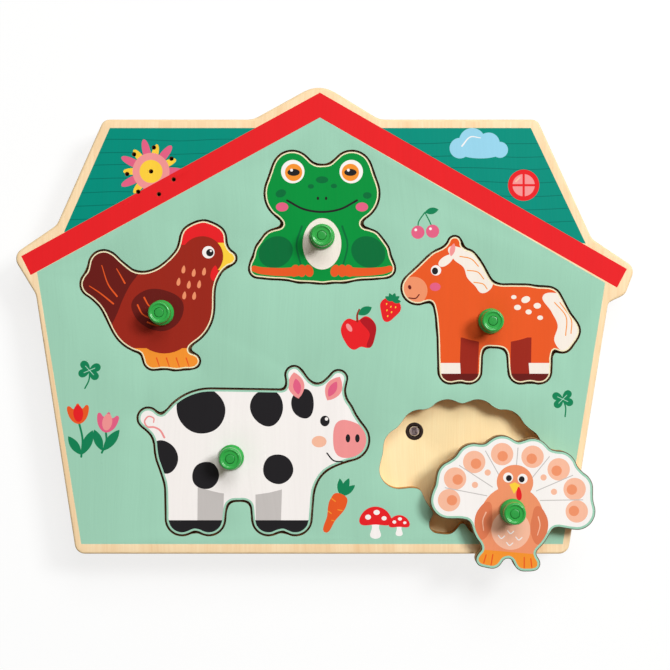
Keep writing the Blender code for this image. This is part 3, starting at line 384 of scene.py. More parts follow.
# %% Build a printed sheet
def split_flat(loops, layers):
    """Triangles of the face inside the first loop and outside the others, with their inks."""
    masks = {id(within): within for _, _, within in layers if within is not None}
    rings = list(loops) + [shape for _, shape, _ in layers] + list(masks.values())
    starts = np.cumsum([0] + [len(ring) for ring in rings])
    edges = [(int(s + i), int(s + (i + 1) % len(ring)))
             for s, ring in zip(starts, rings) for i in range(len(ring))]
    corners = [Vector((float(x), float(y))) for ring in rings for x, y in ring]
    found = delaunay_2d_cdt(corners, edges, [], 0, 1e-4, False)
    points = np.array([tuple(p) for p in found[0]])
    triangles = np.array([tuple(face) for face in found[2]], dtype=np.int64)
    middle = points[triangles].mean(axis=1)
    kept = inside(middle, loops[0])
    for hole in loops[1:]:
        kept &= ~inside(middle, hole)
    triangles, middle = triangles[kept], middle[kept]
    a, b, c = np.moveaxis(points[triangles], 1, 0)
    flipped = np.cross(b - a, c - a) < 0
    triangles[flipped] = triangles[flipped][:, ::-1]
    ink = np.full(len(triangles), WOOD)
    clear = {key: inside(middle, mask) for key, mask in masks.items()}
    for number, shape, within in layers:
        covers = inside(middle, shape)
        if within is not None:
            covers &= clear[id(within)]
        ink[covers] = number
    used, index = np.unique(triangles, return_inverse=True)
    return points[used], index.reshape(-1, 3), ink


def cut_sheet(name, loops, layers, levels, looks, rounding=0.25, hole_rounding=0.12):
    """A flat sheet between two heights in mm, printed on top, with its edges broken.

    Ring k of the wall is the rim moved out by the profile's offset k. A quarter circle
    rounds the top edge: offset r sin(a) at depth r (1 - cos(a)). The looks are the top's,
    the walls', the underside's and, where it differs, the outer wall's.
    """
    low, high = levels
    points, triangles, ink = split_flat(loops, layers)
    rim = rim_of(triangles)
    after = np.full(len(points), -1)
    after[rim[:, 0]] = rim[:, 1]
    before = np.full(len(points), -1)
    before[rim[:, 1]] = rim[:, 0]
    edge = rim[:, 0]
    out = mitre(points[edge] - points[before[edge]], points[after[edge]] - points[edge])
    outside = np.isin(edge, max(walk_round(rim), key=lambda loop: abs(area_of(points[loop]))))
    radius = np.where(outside, rounding, hole_rounding)[:, None]
    angle = np.linspace(0, np.pi / 2, 5)[1:]
    number = np.full(len(points), -1)
    number[edge] = np.arange(len(edge))
    rings = [np.hstack([points[edge] + out * radius * np.sin(a),
                        high - radius * (1 - np.cos(a))]) for a in angle]
    rings.append(np.hstack([points[edge] + out * radius, np.full((len(edge), 1), low)]))
    top = np.hstack([points, np.full((len(points), 1), high)])
    floor = np.hstack([points, np.full((len(points), 1), low)])
    floor[edge] = rings[-1]
    everything = np.vstack([top, *rings[:-1], floor])
    n, m = len(points), len(edge)
    rows = [edge] + [n + m * k + np.arange(m) for k in range(len(rings) - 1)]
    rows.append(n + m * (len(rings) - 1) + edge)
    follow = number[after[edge]]
    walls = np.vstack([np.stack([upper, lower, lower[follow], upper[follow]], axis=1)
                       for upper, lower in zip(rows, rows[1:])])
    under = triangles[:, ::-1] + n + m * (len(rings) - 1)
    wall_look = np.tile(np.where(outside & (len(looks) > 3), 3, 1), len(rings))
    look_of = np.concatenate([np.zeros(len(triangles)), wall_look, np.full(len(under), 2)])
    sheet = new_piece(name, everything * MM, [triangles, walls, under], looks, look_of)
    walls_and_under = np.full(4 * len(walls) + 3 * len(under), WOOD)
    per_corner = np.concatenate([np.repeat(ink, 3), walls_and_under])
    printed = sheet.data.attributes.new("ink", "FLOAT_COLOR", "CORNER")
    printed.data.foreach_set("color", INK_VALUES[per_corner].ravel())
    bare = sheet.data.attributes.new("bare", "FLOAT", "CORNER")
    bare.data.foreach_set("value", (per_corner == WOOD).astype(float))
    # How far down its wall each point lies: the cut-wall shader paints the top band near black, real
    # char deepened as painted gap shade
    depth = sheet.data.attributes.new("depth", "FLOAT", "POINT")
    depth.data.foreach_set("value", (high - everything[:, 2]) / (high - low))
    print(f"{name}: {len(triangles)} printed triangles, {len(walls)} wall faces")
    return sheet


# %% [markdown]
# ## Wood, ink and burnt edges as shaders
#
# Birch plywood has fine streaks along its grain and broad pale bands. One node group
# gives that grain, and every wooden finish uses it. A second group gives the toasted
# brown that a laser leaves on a cut wall, streaked down the wall, and near black at its
# top: real char, deepened as painted shade of the narrow gap round each figure.


# %% Node helpers
def new_group(name, inputs, outputs):
    """A shader group with its named sockets, given as name: (kind, value) and name: kind.

    Gives back the group, the sockets that bring its inputs and the node for its outputs.
    """
    group = bpy.data.node_groups.new(name, "ShaderNodeTree")
    for socket, (kind, value) in inputs.items():
        made = group.interface.new_socket(socket, in_out="INPUT", socket_type=f"NodeSocket{kind}")
        made.default_value = value
    for socket, kind in outputs.items():
        group.interface.new_socket(socket, in_out="OUTPUT", socket_type=f"NodeSocket{kind}")
    return group, group.nodes.new("NodeGroupInput").outputs, group.nodes.new("NodeGroupOutput")


def add(tree, kind, settings=None, **inputs):
    """A node with its settings, its inputs linked to sockets or set to values."""
    node = tree.nodes.new(f"ShaderNode{kind}")
    for key, value in (settings or {}).items():
        setattr(node, key, value)
    for key, value in inputs.items():
        socket = node.inputs[int(key[1:]) if key[0] == "i" and key[1:].isdigit()
                             else key.replace("_", " ")]
        if isinstance(value, bpy.types.NodeSocket):
            tree.links.new(value, socket)
        else:
            socket.default_value = value
    return node


def feed(tree, node, **sockets):
    """Links sockets to a node's inputs by their names."""
    for key, socket in sockets.items():
        tree.links.new(socket, node.inputs[key.replace("_", " ")])


def maths(tree, operation, a, b=0.0, clamp=False):
    """One Math node's output."""
    return add(tree, "Math", {"operation": operation, "use_clamp": clamp}, i0=a, i1=b).outputs[0]


def times(tree, a, b):
    """a times b."""
    return maths(tree, "MULTIPLY", a, b)


def blend(tree, factor, a, b, mode="MIX"):
    """The colour a mixed towards b."""
    node = add(tree, "Mix", {"data_type": "RGBA", "blend_type": mode}, i0=factor, i6=a, i7=b)
    return node.outputs[2]


def ranged(tree, value, low, high, to_low=0.0, to_high=1.0):
    """The value spread from one range over another, and held to it."""
    return add(tree, "MapRange", i0=value, i1=low, i2=high, i3=to_low, i4=to_high).outputs[0]


def object_place(tree):
    """The point on the object itself, by which every pattern here is laid out."""
    return add(tree, "TexCoord").outputs["Object"]


def noise(tree, place, scale, detail, **more):
    """A Noise Texture's value at a place."""
    return add(tree, "TexNoise", Vector=place, Scale=scale, Detail=detail, **more).outputs[0]


def shaded(tree, colour, level):
    """The colour times a level."""
    grey = add(tree, "CombineColor", Red=level, Green=level, Blue=level).outputs[0]
    return blend(tree, 1.0, colour, grey, "MULTIPLY")


def new_look(name, **values):
    """A material with one Principled shader. Uniform values go on the shader's own sockets."""
    look = bpy.data.materials.new(name)
    look.use_nodes = True
    shader = look.node_tree.nodes["Principled BSDF"]
    for key, value in values.items():
        shader.inputs[key.replace("_", " ")].default_value = value
    return look, look.node_tree, shader


def bumped(tree, shader, height, distance, strength):
    """Feeds a height into the shader's normal through a Bump node."""
    node = add(tree, "Bump", Strength=strength, Distance=distance, Height=height)
    feed(tree, shader, Normal=node.outputs["Normal"])


# %% The grain group
grain, g_in, g_out = new_group("birch_grain", {
    "Pale": ("Color", paint((254, 230, 192))), "Dark": ("Color", paint((238, 198, 150))),
    "Across": ("Float", 900.0), "Along": ("Float", 22.0)},
    {"Colour": "Color", "Fibres": "Float", "Bands": "Float"})
place = object_place(grain)
x, y, z = add(grain, "SeparateXYZ", Vector=place).outputs
x_drift = maths(grain, "ADD", x, times(grain, noise(grain, place, 9.0, 2.0), 0.02))
fine = add(grain, "CombineXYZ", X=times(grain, x_drift, g_in["Across"]),
           Y=times(grain, y, g_in["Along"]), Z=times(grain, z, g_in["Across"])).outputs[0]
broad = add(grain, "CombineXYZ", X=times(grain, x_drift, 95.0), Y=times(grain, y, 5.0),
            Z=0.0).outputs[0]
bands = noise(grain, broad, 1.0, 3.0)
fibres = ranged(grain, noise(grain, fine, 1.0, 4.0, Roughness=0.62), 0.30, 0.72)
amount = maths(grain, "ADD", times(grain, fibres, 0.45),
               times(grain, ranged(grain, bands, 0.3, 0.72), 0.55))
feed(grain, g_out, Colour=blend(grain, amount, g_in["Pale"], g_in["Dark"]), Fibres=fibres,
     Bands=bands)
print("Grain group:", len(grain.nodes), "nodes")

# %% The burnt-edge group
PLY_PAIR = 2.6 * MM
burn, b_in, b_out = new_group("laser_cut", {
    "Pale": ("Color", paint((222, 180, 122))), "Burnt": ("Color", paint((120, 78, 40))),
    "Char And Gap Shade": ("Color", paint((56, 36, 22))), "Depth": ("Float", 0.5),
    "Scorch": ("Float", 0.20), "Plies": ("Float", 0.42)},
    {"Colour": "Color", "Streaks": "Float"})
place = object_place(burn)
down = add(burn, "Mapping", Vector=place, Scale=(1700.0, 1700.0, 110.0)).outputs[0]
streaks = noise(burn, down, 1.0, 5.0, Roughness=0.7)
patches = noise(burn, place, 160.0, 3.0)
height = add(burn, "SeparateXYZ", Vector=place).outputs[2]
uneven = maths(burn, "ADD", height, times(burn, patches, 0.0005))
wave = maths(burn, "SINE", times(burn, uneven, 2 * math.pi / PLY_PAIR))
plies = times(burn, ranged(burn, wave, -0.4, 0.4), b_in["Plies"])
scorch = times(burn, ranged(burn, streaks, 0.32, 0.70), b_in["Scorch"])
patchy = times(burn, ranged(burn, patches, 0.35, 0.65), 0.25)
total = maths(burn, "ADD", maths(burn, "ADD", scorch, patchy), plies, clamp=True)
# The top of the wall runs to near black: real laser char, deepened as painted shade of the narrow
# gap
char_and_gap_shade = ranged(burn, b_in["Depth"], 0.02, 0.24, 0.92, 0.0)
toasted = blend(burn, total, b_in["Pale"], b_in["Burnt"])
feed(burn, b_out, Colour=blend(burn, char_and_gap_shade, toasted, b_in["Char And Gap Shade"]), Streaks=streaks)
print("Burnt-edge group:", len(burn.nodes), "nodes")


# %% Use the groups
def grouped(tree, group, **inputs):
    """The outputs of a group placed in a tree, with its own values."""
    return add(tree, "Group", {"node_tree": group}, **inputs).outputs


def carried(tree, name, output):
    """What a mesh attribute carries."""
    return add(tree, "Attribute", {"attribute_name": name}).outputs[output]


def printed_look(name):
    """Ink on birch under a satin varnish: the fibres show faintly through the ink."""
    look, tree, shader = new_look(name, Specular_IOR_Level=0.08)
    wood = grouped(tree, grain)
    level = times(tree, ranged(tree, wood["Fibres"], 0.0, 1.0, 1.0, 0.97),
                  ranged(tree, wood["Bands"], 0.3, 0.7, 1.012, 0.978))
    ink = shaded(tree, carried(tree, "ink", "Color"), level)
    feed(tree, shader, Base_Color=blend(tree, carried(tree, "bare", "Fac"), ink, wood["Colour"]),
         Roughness=ranged(tree, wood["Fibres"], 0.0, 1.0, 0.40, 0.52))
    bumped(tree, shader, wood["Fibres"], 0.00004, 0.6)
    return look


def cut_look(name, pale, burnt, sanded=False):
    """A cut wall: dry and matt. A laser chars its top, deepened to near black as painted shade of
    the narrow gap, and sanding bares its plies.
    """
    look, tree, shader = new_look(name, Roughness=0.72)
    if sanded:
        state = {"Scorch": 0.12, "Plies": 0.52}
    else:
        state = {"Depth": carried(tree, "depth", "Fac")}
    wall = grouped(tree, burn, Pale=paint(pale), Burnt=paint(burnt), **state)
    feed(tree, shader, Base_Color=wall["Colour"])
    bumped(tree, shader, wall["Streaks"], 0.00008, 0.7)
    return look


def wood_look(name, pale, dark, across=900.0, along=22.0):
    """Bare sanded wood with its grain."""
    look, tree, shader = new_look(name)
    wood = grouped(tree, grain, Pale=paint(pale), Dark=paint(dark), Across=across, Along=along)
    feed(tree, shader, Base_Color=wood["Colour"],
         Roughness=ranged(tree, wood["Fibres"], 0.0, 1.0, 0.50, 0.66))
    bumped(tree, shader, wood["Fibres"], 0.00005, 0.7)
    return look


print_on_birch = printed_look("print_on_birch")
recess_wall = cut_look("laser_cut_wall", (226, 166, 82), (144, 88, 32))
kerf_wall = cut_look("laser_cut_figure_edge", (222, 178, 120), (134, 92, 52))
sanded_edge = cut_look("sanded_plies", (246, 218, 172), (208, 166, 116), sanded=True)
birch_back = wood_look("birch_underside", (240, 214, 172), (218, 180, 132))
birch_floor = wood_look("birch_recess_floor", (251, 229, 180), (245, 216, 160), 1300.0, 40.0)
print("Wood finishes:", print_on_birch.name, recess_wall.name, birch_floor.name)

# %% [markdown]
# ## The barn front
#
# The print is a barn: mint boards, a red roof edge and teal shingle planks, with a bare
# wooden border all round. Its corners are measured on the real board, whose roof sits a
# little askew. The small motifs are plain garden things.

# %% Barn, roof and planks
FACADE = np.array([(-138.5, 23.8), (-117.0, -108.4), (117.0, -108.4), (137.6, 18.6), (-1.0, 98.9)])
ROOF_EDGE = np.array([(-1.0, 111.0), (-146.2, 31.5), (-141.6, 22.3), (-1.0, 98.9),
                      (143.4, 16.2), (148.2, 25.3)])
LEFT_ROOF = np.array([(-103.1, 93.8), (-125.4, 43.3), (-119.0, 43.3), (-28.0, 93.8)])
RIGHT_ROOF = np.array([(101.5, 93.8), (26.0, 93.8), (122.0, 38.5), (128.2, 37.6)])


def plank_line(x0, x1, y):
    """A thin, slightly wavy joint between two planks."""
    x = np.linspace(x0, x1, 6)
    return stroke(np.stack([x, y + 0.5 * np.sin(x / 9.0)], axis=1), 0.42, 0.3, parts=5)


def roof_planks():
    """The joints of both roof sides, clipped to their own side."""
    rows = np.array([88.0, 81.5, 75.6, 69.0, 62.4, 56.0, 49.6])
    left = [plank_line(-128 + 0.4 * k, -30 - 7 * k, y) for k, y in enumerate(rows)]
    right = [plank_line(30 + 10 * k, 132, y - 1.5) for k, y in enumerate(rows)]
    return (inked("deep teal", *left, within=LEFT_ROOF)
            + inked("deep teal", *right, within=RIGHT_ROOF))


def sun():
    """A rising sun: a disc with a ring of rays, half behind the roof edge."""
    turns = np.arange(14) * 360 / 14
    return (inked("rose", *[petal(0, 0, 16.0, 4.6, turn) for turn in turns[::2]])
            + inked("yellow", *[petal(0, 0, 13.5, 4.0, turn) for turn in turns[1::2]])
            + inked("pink", oval(0, 0, 9.0)) + inked("yellow", oval(0, 0, 5.6)))


def cloud():
    """Four puffs on a flat foot."""
    puffs = ovals((-9, 0, 5.0), (-3, 3.4, 6.4), (5, 2.2, 5.4), (10.5, -0.8, 3.9),
                  (1, -1.6, 11.0, 3.4))
    return inked("sky", *puffs) + inked("white", stroke([(-8, 1), (-4, 5.4), (1, 5)], 0.7, 0.4))


def round_window():
    """A round attic window with a red frame and a cross of bars."""
    return (inked("red", oval(0, 0, 7.6)) + inked("pink", oval(0, 0, 5.4))
            + inked("red", stroke([(-6, 0), (6, 0)], 1.1), stroke([(0, -6), (0, 6)], 1.1))
            + inked("pale peach", stroke([(-3.8, 1.8), (-1.9, 3.8)], 0.7)))


# %% Garden motifs
def tulip(ink, shade, height=17.0):
    """A tulip on a bent stalk: three petals and two leaves."""
    cup = soft([(0, height - 1), (4.6, height + 3), (4.4, height + 8), (2, height + 6.4),
                (0, height + 9), (-2, height + 6.4), (-4.4, height + 8), (-4.6, height + 3)])
    middle = soft([(0, height), (2.4, height + 4), (0, height + 8.2), (-2.4, height + 4)])
    return (inked("leaf", stroke([(0, 0), (1.2, height * 0.5), (0, height)], 1.0),
                  leaf(0.4, 1, 13, 4.6, 62), leaf(0, 1, 11, 4.2, 121))
            + inked(ink, cup) + inked(shade, middle))


def apple():
    """A red apple with a stalk, a leaf and a pale gleam."""
    fruit = soft([(0, 6.6), (4.6, 8.2), (8.6, 4.4), (8.0, -2.6), (3.6, -8.0), (0, -7.0),
                  (-3.6, -8.0), (-8.0, -2.6), (-8.6, 4.4), (-4.6, 8.2)][::-1])
    side = soft([(2.2, 7.4), (8.6, 4.4), (8.0, -2.6), (3.6, -8.0), (5.4, -1.0)][::-1])
    return (inked("red", fruit) + inked("dark red", side)
            + inked("brown", stroke([(0, 6.2), (0.4, 9.4), (1.8, 12.0)], 1.1, 0.9))
            + inked("leaf", leaf(0.8, 9.6, 8.0, 4.2, 20))
            + inked("pink", oval(-4.6, 3.6, 1.2, 2.3, 25)))


def carrot():
    """An orange root with short rings and a tuft of leaves."""
    root = soft([(0, -17), (2.4, -9), (4.4, 0), (3.4, 3.4), (0, 4.4), (-3.4, 3.4), (-4.4, 0),
                 (-2.4, -9)])
    rings = strokes(0.55, None, [(-3.9, 0.2), (-1.6, -0.3)], [(3.5, -3.2), (1.4, -3.7)],
                    [(-2.8, -6.4), (-1.0, -6.8)]) + [stroke([(1.9, -9.6), (0.6, -9.9)], 0.5)]
    tuft = [leaf(0, 3.4, 10, 3.6, 90), leaf(0, 3.4, 9, 3.4, 62), leaf(0, 3.4, 9, 3.4, 118)]
    return inked("leaf", *tuft) + inked("orange", root) + inked("amber", *rings)


def strawberry():
    """A strawberry with pips and a leafy cap."""
    fruit = soft([(0, -8.4), (4.6, -3.4), (6.4, 2.0), (4.0, 5.4), (0, 5.0), (-4.0, 5.4),
                  (-6.4, 2.0), (-4.6, -3.4)])
    pips = [petal(x, y, 1.3, 0.9, 90) for x, y in
            [(-2.8, 1.4), (0.2, 0.6), (3.0, 1.2), (-1.4, -2.2), (1.6, -2.4), (0.1, -5.4)]]
    cap = [leaf(0, 4.8, 5.2, 2.6, turn) for turn in (15, 52, 90, 128, 165)]
    return inked("red", fruit) + inked("yellow", *pips) + inked("leaf", *cap)


def toadstool():
    """A red cap with pale dots on a white foot."""
    foot = soft([(-2.4, 0), (2.4, 0), (1.8, 5), (2.0, 9), (-2.0, 9), (-1.8, 5)])
    cap = soft([(-8.2, 7.4), (0, 6.4), (8.2, 7.4), (6.4, 12.6), (0, 15.6), (-6.4, 12.6)])
    dots = ovals((-3.8, 10.2, 1.5, 1.3), (0.6, 12.6, 1.6, 1.3), (4.4, 9.6, 1.3, 1.1))
    return inked("white", foot) + inked("red", cap) + inked("white", *dots)


def clover():
    """Four leaves on a thin stalk."""
    turns = (35, 145, 215, 325)
    leaves = [petal(0, 0, 6.4, 5.4, turn) for turn in turns]
    veins = [turned_by(stroke([(0, 0), (3.2, 0)], 0.4), turn) for turn in turns]
    return (inked("leaf", stroke([(0, 0), (0.8, -5), (-0.4, -10)], 0.8), *leaves)
            + inked("mint light", *veins))


def cherries():
    """A pair of cherries under one leaf."""
    stalks = strokes(0.7, None, [(0, 8), (-3.4, 3), (-4, -1)], [(0, 8), (2.6, 3), (4.2, -0.6)])
    return (inked("leaf", *stalks, leaf(0, 8, 8, 3.8, 12))
            + inked("rose", *ovals((-4, -3.4, 3.8), (4.4, -2.8, 3.8)))
            + inked("white", *ovals((-5.2, -2.0, 0.8), (3.2, -1.4, 0.8))))


# %% Print and saw the front
def moved(layers, x, y, turn=0.0, scale=1.0, within=None):
    """Layers scaled, turned and put at a place, where a loop clips those without their own."""
    return [(ink, turned_by(shape * scale, turn) + (x, y), within if own is None else own)
            for ink, shape, own in layers]


# Each motif with its place in mm, its turn in degrees and its scale
MOTIFS = [(cloud(), 76.0, 84.0, 0, 1.0),
          (round_window(), 98.0, 66.0, 0, 1.0),
          (tulip("orange", "red"), -117.0, -66.0, 4, 1.0),
          (tulip("rose", "pink", 11.0), -107.0, -64.0, -10, 1.0),
          (clover(), -113.0, -24.0, -12, 0.9),
          (apple(), 18.0, -6.0, 8, 0.95),
          (strawberry(), 33.0, 6.0, -18, 0.8),
          (carrot(), 8.0, -88.0, -24, 0.95),
          (toadstool(), 26.0, -105.0, 0, 0.95),
          (toadstool(), 37.5, -104.0, 0, 0.62),
          (cherries(), 50.0, 46.0, 0, 0.85),
          (clover(), 117.0, -38.0, 10, 0.85)]
SPEAKER = round_size("speaker_cone")[0]
barn_print = (inked("mint", FACADE) + inked("teal", LEFT_ROOF, RIGHT_ROOF) + roof_planks()
              + moved(sun(), *SPEAKER, within=LEFT_ROOF) + inked("red", ROOF_EDGE))
for motif, *placing in MOTIFS:
    barn_print += moved(motif, *placing)
front = cut_sheet("printed_front", [eased(loop) for loop in front_loops], barn_print,
                  levels_of("front_panel"),
                  [print_on_birch, recess_wall, birch_back, sanded_edge], rounding=1.0)
stands_for(front, "front_panel")

# %% [markdown]
# ## The five figures
#
# Each figure is sawn from the same printed sheet, with a thin rim outside its drawing:
# mint on the pig and the turkey, and on the others a pale cream, bare wood painted paler
# as an edge highlight. The drawing's edge is the sawn outline moved in by that rim, so the
# picture always fits its piece. The rest of each picture is laid over it and clipped by it.

# %% Drawings of the hen, frog and pony
def hen_print():
    """A brown hen that looks to the right."""
    toes = [stroke([(x, -28), (x + 1.5, -32.4)], 0.7, 0.4) for x in (-4.4, 0.4, 5.2, 10.0)]
    tail = soft([(-60, 44), (-30, 44), (-10, 30), (-12.6, 14), (-17.5, 7), (-21, 0),
                 (-23.8, -7), (-29, -16), (-40, -24), (-60, -20)])
    quills = strokes(0.8, 0.4, [(-23.6, 2), (-28, 8), (-31, 17)],
                     [(-25.4, -1.6), (-31.6, 3.4), (-37, 7)],
                     [(-19.8, 8.4), (-21.8, 12), (-23.8, 15.4)])
    beak = np.array([(24, 28), (44, 28), (44, 12), (24, 15)])
    neck = [petal(x, y, 3.9, 2.2, -98) for x, y in
            [(9, 17), (14, 15.4), (19, 16), (6.6, 11), (11.6, 9.6), (16.6, 9.8), (9.4, 4.4),
             (14.2, 4.2)]]
    wing = soft([(-16.6, -1.6), (-10.6, 4.6), (0, 4.8), (8.4, -1), (7.4, -9), (0.6, -14.6),
                 (-7.6, -13.8), (-14.4, -8.6)][::-1])
    plumes = strokes(0.8, 0.5, [(-13.6, -2.2), (-11.4, -6.4), (-7.2, -9.0)],
                     [(-10.4, 1.4), (-8.2, -2.4), (-5, -4.6)],
                     [(-8.8, -10.6), (-4.4, -12.2), (0, -11.8)])
    return (inked("amber", block(-16, -40, 20, -23.2)) + inked("orange", *toes)
            + inked("red", block(2, 27, 34, 46)) + inked("yellow", beak)
            + inked("dark brown", tail) + inked("orange", *quills)
            + inked("brown", *ovals((-0.6, -11, 15.4, 14.8), (17.8, 21.4, 10.2, 9.8)))
            + inked("dark brown", wing) + inked("orange", *plumes) + inked("peach", *neck)
            + inked("red", petal(24.2, 17.0, 7.6, 4.6, -96))
            + inked("white", oval(20.8, 23.4, 3.0)) + inked("black", oval(21.5, 23.2, 1.8))
            + inked("white", oval(22.0, 24.0, 0.5)))


def frog_print():
    """A green frog that looks straight ahead, with orange toes and a pale belly."""
    toes = both_sides(stroke([(12, -26.0), (20, -26.2), (29, -25.6), (33, -24.6)], 4.4, 3.0))
    hands = [oval(x, -25.6, 2.2, 3.0, turn) for x, turn in
             [(6.4, -18), (9.8, 0), (13.2, 18), (-6.4, 18), (-9.8, 0), (-13.2, -18)]]
    arms = both_sides(stroke([(9.8, -4), (12.4, -13), (10.2, -23)], 1.0, 0.8))
    spots = ovals((-20, 12, 2.6, 1.9, 20), (22, 11, 2.1, 1.6), (-24, -12, 2.4, 1.8),
                  (25.5, -14, 2.4, 1.7), (0, 18.6, 3.0, 1.7), (-5.4, 15.4, 1.5, 1.1),
                  (5.8, 15.6, 1.5, 1.1))
    smile = stroke([(-17, 8.6), (-9, 4.4), (0, 3.0), (9, 4.4), (17, 8.6)], 1.0)
    return (inked("dark green", *both_sides(oval(22.5, -16.5, 8.6, 7.4, -30)))
            + inked("orange", *toes) + inked("cream", oval(0, -12.5, 9.4, 12.5))
            + inked("dark green", *arms) + inked("orange", *hands) + inked("dark green", *spots)
            + inked("white", *both_sides(oval(14.2, 22.6, 5.7)))
            + inked("amber", *both_sides(oval(13.8, 22.2, 4.2)))
            + inked("black", *both_sides(oval(13.8, 22.2, 3.0, 1.7)))
            + inked("white", *ovals((12.8, 23.3, 0.7), (-14.8, 23.3, 0.7)))
            + inked("black", smile, *both_sides(oval(2.0, 9.6, 0.6, 0.8)))
            + inked("rose", *both_sides(oval(19.4, 5.4, 3.0, 2.2))))


def pony_print():
    """A chestnut pony that looks to the left, with a cream mane and tail."""
    far_legs = [np.array([(-13.4, -36), (-4.6, -36), (-3.6, -12), (-12.6, -12)]),
                np.array([(11.4, -36), (21.4, -36), (21.8, -12), (11.8, -12)])]
    socks = [np.array([(-23, -29.6), (-12.6, -29.6), (-12.9, -24.4), (-23, -24.4)]),
             np.array([(20.8, -29.6), (32, -29.6), (32, -24.4), (20.4, -24.4)])]
    mane = soft([(-18.5, 31.5), (-12, 31.5), (-4.5, 27.5), (0.4, 20.5), (2.6, 12.5), (-2.6, 9.6),
                 (-5.6, 13.0), (-9.4, 17.0), (-11.2, 22.0), (-15.6, 25.6)][::-1])
    tail = soft([(27.5, 8.5), (34, 9.5), (43, 0), (43.5, -12), (38, -19), (33, -14), (34.5, -6),
                 (31.5, 0.5)][::-1])
    hairs = strokes(0.5, None, [(-13, 27.4), (-7.6, 26.2), (-4, 22.6)],
                    [(-9.4, 20.6), (-4.4, 19.8), (-1.4, 16.4)],
                    [(-6.2, 14.8), (-1.8, 14.0), (0.2, 11.6)],
                    [(33, 5), (38.6, -2), (38.4, -11)], [(35.6, 5), (41, -3), (41, -10)])
    spots = ovals((19, 6.4, 2.2, 1.6, 20), (24.6, 3.4, 1.8, 1.4), (15, 2.6, 1.7, 1.3),
                  (20.4, 0.4, 1.5, 1.2), (26.0, -2.4, 1.4, 1.1), (13.2, 7.6, 1.3, 1.0))
    smile = stroke([(-37.8, 7.2), (-34.6, 7.0), (-32.8, 8.8)], 0.6)
    return (inked("brown", *far_legs) + inked("orange", oval(4, -2, 26, 12.6))
            + inked("cream", *socks) + inked("dark brown", block(-24, -36, 34, -29.6))
            + inked("cream", mane, tail) + inked("amber", *hairs)
            + inked("cream", petal(-15.5, 28.5, 9.5, 5.0, 216), *spots)
            + inked("peach", oval(-36.0, 10.4, 7.4, 7.0, 35))
            + inked("pink", leaf(-17.4, 27.4, 6.6, 2.6, 76))
            + inked("rose", oval(-25, 12.6, 2.6, 2.0)) + inked("white", oval(-24.6, 20.6, 2.5))
            + inked("black", oval(-25.1, 20.3, 1.5, 1.7))
            + inked("dark brown", oval(-37.4, 12.4, 0.8, 1.1, 20), smile))


# %% Drawings of the pig and the turkey
# A loop round the whole board clips nothing, so a line may run over its figure's rim
WHOLE_BOARD = block(-160, -130, 160, 130)


def pig_print():
    """A white pig with black patches and a pink snout, that looks to the right."""
    far_legs = [np.array([(-26.6, -46), (-14.2, -46), (-13.6, -20), (-26.4, -20)]),
                np.array([(2.0, -46), (13.8, -46), (14.6, -20), (1.6, -20)])]
    patches = [soft([(-34, 26), (-20, 27), (-13, 18), (-17, 8), (-28, 6), (-36, 14)]),
               soft([(2, 25), (12, 25.5), (15, 17), (9, 9), (1, 13), (-1, 19)]),
               soft([(-46, 2), (-39, 0), (-36, -8), (-41, -14), (-48, -8)]),
               soft([(-27, -10), (-19, -9), (-16, -15), (-20, -21), (-28, -19)]),
               soft([(8, -6), (17, -6), (20, -13), (14, -19), (6, -15)]),
               soft([(20, 24), (27, 27), (30, 20), (27, 13), (21, 15)])]
    ears = [leaf(22.6, 22.5, 13, 8, 100), leaf(36.6, 21.6, 13, 8, 62)]
    inner_ears = [leaf(22.6, 24.4, 8, 3.8, 100), leaf(37.2, 23.4, 8.4, 3.8, 62)]
    snout = soft([(42, 11.5), (50, 10.8), (56, 6), (56, -2), (49, -6), (42, -5.4), (39.4, 3)][::-1])
    curl = stroke([(-42.6, 3.6), (-44.6, 7.0), (-47.6, 8.6), (-50.8, 8.8), (-52.2, 11.4),
                   (-50.4, 13.8), (-47.8, 13.0), (-47.8, 11.0)], 1.0, 0.6)
    mouth = stroke([(36.4, -4.0), (39.6, -7.6), (44.0, -8.2)], 0.7)
    return (inked("grey", *far_legs) + inked("white", oval(-4, 0, 40, 24.4))
            + inked("black", block(-44, -46, 32, -36.6), *patches)
            + inked("pink", *ears) + inked("rose", *inner_ears) + inked("pink", snout, curl)
            + inked("black", *ovals((46.6, 3.2, 1.1, 2.0), (51.2, 3.2, 1.1, 2.0)))
            + inked("black", mouth, within=WHOLE_BOARD)
            + inked("pale peach", oval(32.6, 1.6, 3.6, 2.8))
            + inked("black", oval(35.4, 11.6, 2.3, 2.6)) + inked("white", oval(36.2, 12.6, 0.8)))


def round_fan(turns, wide, high):
    """Places on an ellipse at the given turns in degrees."""
    return np.stack([wide * np.cos(np.radians(turns)), high * np.sin(np.radians(turns))], axis=1)


